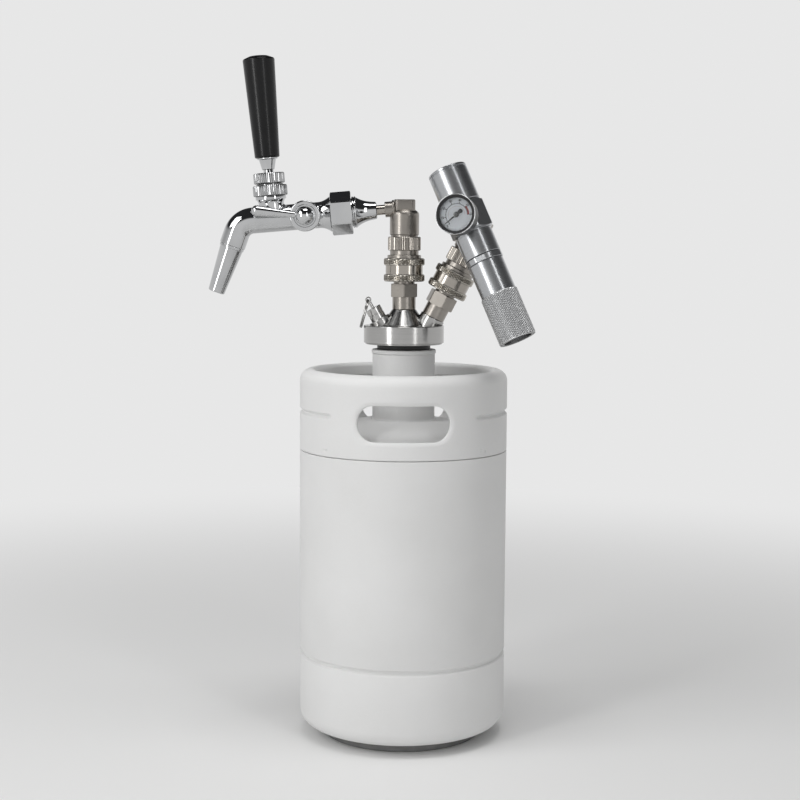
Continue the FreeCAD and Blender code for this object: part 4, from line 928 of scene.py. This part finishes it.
knob_section = outline((12.3, 13.4), (15.5, 13.4, 0.6), (15.5, 40.6), (15.15, 40.9), (15.15, 41.5),
                       (15.5, 41.8), (15.5, 43.6, 0.8), (4.2, 43.6, 0.3), (4.0, 42.9, 0.2), (0, 42.9))
fit("adjusting_knob_turning", reg_place, [spun([(0.0, 40.6), (12.3, 40.6), *knob_section], 112)], satin,
    "reg_aluminium", "knob", "adjusting_knob")
regulator_barrel = turned(112, (2.6, -25.0), (10.7, -25.0), (10.7, -31.0), (14.6, -31.0, 0.35),
                          (14.6, -12.6), (14.2, -12.2, 0.1), (14.2, -11.3, 0.1), (14.5, -10.9, 0.2),
                          (2.6, -10.75))
fit("regulator_barrel_turning", reg_place, [regulator_barrel], satin, "reg_aluminium", "regulator",
    "regulator_barrel")


def flatted_ring(radius, across, low, high, bore, ease):
    """Ring with six wrench flats: r is the lesser of the round and the hexagon at each angle."""
    a = np.linspace(0, 2 * pi, 144, endpoint=False)
    lean = np.abs((a + pi / 3) % (pi / 3) - pi / 6)
    r = np.minimum(radius, across / 2 / np.cos(lean))
    return lofted(a, [(bore, low), (r - ease, low), (r, low + ease), (r, high - ease), (r - ease, high),
                      (bore, high)])


fit("barrel_ring_machined", reg_place, [flatted_ring(14.6, 27.8, -36.1, -31.5, 10.7, 0.35)], satin,
    "reg_aluminium", "regulator", "barrel_ring", crease=24)
shoulder = -36.4
cap_low, cap_bore = -101.2, 11.4
cartridge_sleeve = turned(112, (9.5, shoulder - 4), (9.5, -26), (10.4, -26), (10.4, shoulder),
                          (14.0, shoulder, 0.4), (14.0, -62.3), (14.0, -62.9), (cap_bore, -62.9),
                          (cap_bore, shoulder - 4))
fit("cartridge_sleeve_turning", reg_place, [cartridge_sleeve], satin, "reg_aluminium", "cartridge",
    "cartridge_sleeve")
cap_knurl = diamonds(15.0, 0.7, 1.55, cap_low, -62.8,
                     ((cap_bore, cap_low), (12.2, cap_low), (14.5, cap_low), (14.6, -100.95)),
                     ((14.6, -63.05), (14.4, -62.8), (cap_bore, -62.8)), 0.35)
fit("cartridge_sleeve_knurl", reg_place, [cap_knurl], painted_bright_knurled_satin, "reg_aluminium", "cartridge",
    crease=20, knurled=True)
cartridge = [(0.0, -97.0)] + arc(0, -87.9, 9.1, -88, 0, 14) + [(9.1, -44.0)]
cartridge += [(4.2 + 4.9 * cos(v), -44.0 + 6.4 * sin(v)) for v in np.linspace(0.1, 1.5, 9)]
cartridge += [(4.2, -36.0), (4.2, -32.6), (3.8, -32.3), (0.0, -32.3)]
plated = turned_metal("cartridge_plated_steel", reg_place, (0.42, 0.43, 0.44), (0.58, 0.59, 0.60),
                      (0.22, 0.34))
fit("gas_cartridge_drawn", reg_place, [spun(cartridge, 64)], plated, "cartridge_steel", "cartridge",
    "gas_cartridge", crease=40)
dress("diaphragm_piston", satin)
dress("pierce_pin", chrome)

# Gauge: a pressed black case with a polished rim, a black inner ring, a white printed dial with plain
# numbers, a black needle on a pin, and a flat clear window. It screws into the hexagon's front flat.
gauge_place = frame_at(reg_centre, reg_front, np.cross(reg_up, reg_front))
bezel_chrome = chromed("gauge_polished_chrome", (0.04, 0.09))
gauge_stem = turned(48, (1.5, 15.15), (4.6, 15.15), (4.6, 24.4), (1.5, 24.4))
fit("gauge_stem_machined", gauge_place, [gauge_stem, nut(12.0, 17.15, 22.9, 1.5, 0.5)], bezel_chrome,
    "tap_chrome", "regulator", "gauge_stem", crease=24)
gauge_case = turned(112, (0, 24.45), (14.9, 24.45, 1.8), (14.9, 36.0), (13.8, 36.0), (13.8, 26.45),
                    (0, 26.45))
fit("gauge_case_pressing", gauge_place, [gauge_case], gloss_black("gauge_case_black"), "needle_black",
    "regulator", "gauge_case")
gauge_bezel = turned(128, (14.8, 37.5), (15.1, 37.5), (15.1, 37.95), (15.6, 38.02, 0.1), (15.6, 38.9, 0.5),
                     (14.95, 38.9, 0.3), (14.8, 38.4), (14.8, 37.5))
fit("gauge_bezel_rim", gauge_place, [gauge_bezel], bezel_chrome, "tap_chrome", "regulator", "gauge_bezel")
gauge_bezel_skirt = turned(128, (14.95, 33.4), (15.6, 33.4, 0.3), (15.6, 38.0, 0.2), (14.95, 38.0),
                           (14.95, 33.4))
fit("gauge_bezel_skirt", gauge_place, [gauge_bezel_skirt], gloss_black("gauge_skirt_black"), "needle_black",
    "regulator")


def painted(name, dark, light, rough, grain=1400):
    """Printed or painted skin: a barely mottled colour, and a fine grain in sheen and relief."""
    return mottled(name, ((160, 3), dark, light), ((grain, 3), rough - 0.05, rough + 0.05),
                   (((grain, 2), 0.08, 0.00002),), {})


ink_black = painted("dial_black_ink", (0.005, 0.005, 0.006), (0.009, 0.009, 0.01), 0.6)
ink_red = painted("dial_red_ink", (0.30, 0.02, 0.02), (0.36, 0.03, 0.03), 0.5)
ink_pale = painted("dial_pale_ink", (0.50, 0.42, 0.42), (0.56, 0.48, 0.48), 0.5)
gauge_inner_ring = turned(112, (12.7, 37.42), (14.82, 37.42), (14.82, 38.5, 0.2), (12.7, 37.7, 0.1))
fit("gauge_inner_ring", gauge_place, [gauge_inner_ring], ink_black, "needle_black", "regulator")
dial_look = painted("dial_white_face", (0.66, 0.665, 0.70), (0.72, 0.725, 0.76), 0.5)
gauge_dial = turned(96, (0, 26.5), (3.0, 26.5), (3.0, 34.0), (13.7, 34.0), (13.7, 34.6, 0.1), (0, 34.6))
fit("gauge_dial_disc", gauge_place, [gauge_dial], dial_look, "dial_white", "regulator", "gauge_dial")

lens, tree, shader, coords = blank("gauge_clear_window", {
    "Base Color": (0.97, 0.99, 0.99, 1), "Transmission Weight": 1.0, "IOR": 1.45, "Specular IOR Level": 0.1})
feed(tree, shader, {"Roughness": spread(tree, noise(tree, coords, 300, 4), 0.0, 0.03)})
gauge_lens = turned(96, (0, 36.02), (14.6, 36.02), (14.6, 37.4, 0.2), (0, 37.4))
fit("gauge_window", gauge_place, [gauge_lens], lens, "lens_clear", "regulator", "gauge_lens")


def printed(name, marks, look):
    """Flat marks on the dial: quads (x, y) in mm of the gauge's frame, lifted off it and given a
    thickness."""
    points, faces = [], []
    for quad in marks:
        base, n = len(points), len(quad)
        for z in (34.605, 34.63):
            points += [tuple(set_in(np.array([x, y, z]), gauge_place) * 0.001) for x, y in quad]
        faces.append(list(range(base, base + n))[::-1])
        faces.append(list(range(base + n, base + 2 * n)))
        faces += [[base + k, base + (k + 1) % n, base + n + (k + 1) % n, base + n + k] for k in range(n)]
    mesh = bpy.data.meshes.new(name)
    mesh.from_pydata(points, [], faces)
    attach(name, mesh, look, "needle_black", "regulator")


def tick(angle, near, far, half):
    """Tick along an angle in degrees, from one radius to another, of a half width."""
    c, s = cos(radians(angle)), sin(radians(angle))
    return [(r * c - side * s, r * s + side * c)
            for r, side in ((near, -half), (far, -half), (far, half), (near, half))]


def bow(first, last, near, far, steps):
    """Band between two radii, from one angle to another, as a row of quads."""
    a = np.radians(np.linspace(first, last, steps + 1))
    return [[(r * cos(v), r * sin(v)) for r, v in ((near, p), (near, q), (far, q), (far, p))]
            for p, q in zip(a[1:], a[:-1])]


dial_zero = 207.0
dial_step = 38.4
dial_end = dial_zero - 6 * dial_step
ticks = [tick(dial_zero - dial_step * k / 5, 8.3, *((9.0, 0.18) if k % 5 else (9.6, 0.32)))
         for k in range(31)]
printed("dial_ticks", ticks + bow(dial_zero, dial_end, 8.15, 8.4, 90), ink_black)
printed("dial_red_band", bow(dial_zero - 4.9 * dial_step, dial_end, 8.5, 9.9, 20), ink_red)
printed("dial_pale_band", bow(dial_zero, dial_end, 6.3, 6.6, 80), ink_pale)
number_radius = 11.1
for k in range(7):
    curve = bpy.data.curves.new("dial_number", "FONT")
    curve.body = str(k * 10)
    curve.size = 2.7
    curve.align_x = curve.align_y = "CENTER"
    curve.extrude = 0.012
    curve.offset = 0.07
    text = added("dial_number", curve)
    bpy.context.view_layer.update()
    mesh = bpy.data.meshes.new_from_object(text.evaluated_get(bpy.context.evaluated_depsgraph_get()))
    bpy.data.objects.remove(text)
    flat = np.array([v.co for v in mesh.vertices], float)
    angle = radians(dial_zero - dial_step * k)
    flat = flat * [0.82, 1, 1] + [number_radius * cos(angle), number_radius * sin(angle), 34.62]
    mesh.vertices.foreach_set("co", (set_in(flat, gauge_place) * 0.001).astype(np.float32).reshape(-1))
    attach("dial_number_%02d" % (k * 10), mesh, ink_black, "needle_black", "regulator")

needle_turn = radians(195.0)
spin = np.array([[cos(needle_turn), sin(needle_turn)], [-sin(needle_turn), cos(needle_turn)]])
half_blade = [(-5.6, -1.1), (-4.4, -1.7), (-2.6, -1.3), (0, -0.75), (11.4, -0.22)]
blade = np.array(half_blade + [(x, -y) for x, y in half_blade[::-1]]) @ spin
layers = [np.column_stack([blade * share, np.full(len(blade), z)])
          for share, z in ((0, 35.1), (0.97, 35.1), (1, 35.18), (1, 35.4), (0.97, 35.48), (0, 35.48))]
needle_look = painted("needle_black_paint", (0.012, 0.012, 0.012), (0.022, 0.022, 0.022), 0.35)
fit("gauge_needle_blade", gauge_place, [np.array(layers)], needle_look, "needle_black", "needle",
    "gauge_needle", crease=30)
pin_look = chromed("needle_dark_pin", (0.2, 0.3), (0.05, 0.05, 0.05), (0.08, 0.08, 0.08))
gauge_needle_hub = turned(40, (0, 31.6), (0.7, 31.6), (0.7, 35.0), (2.1, 35.05), (2.1, 35.6, 0.2),
                          (0, 35.7))
fit("gauge_needle_hub", gauge_place, [gauge_needle_hub], pin_look, "needle_black", "needle", crease=30)
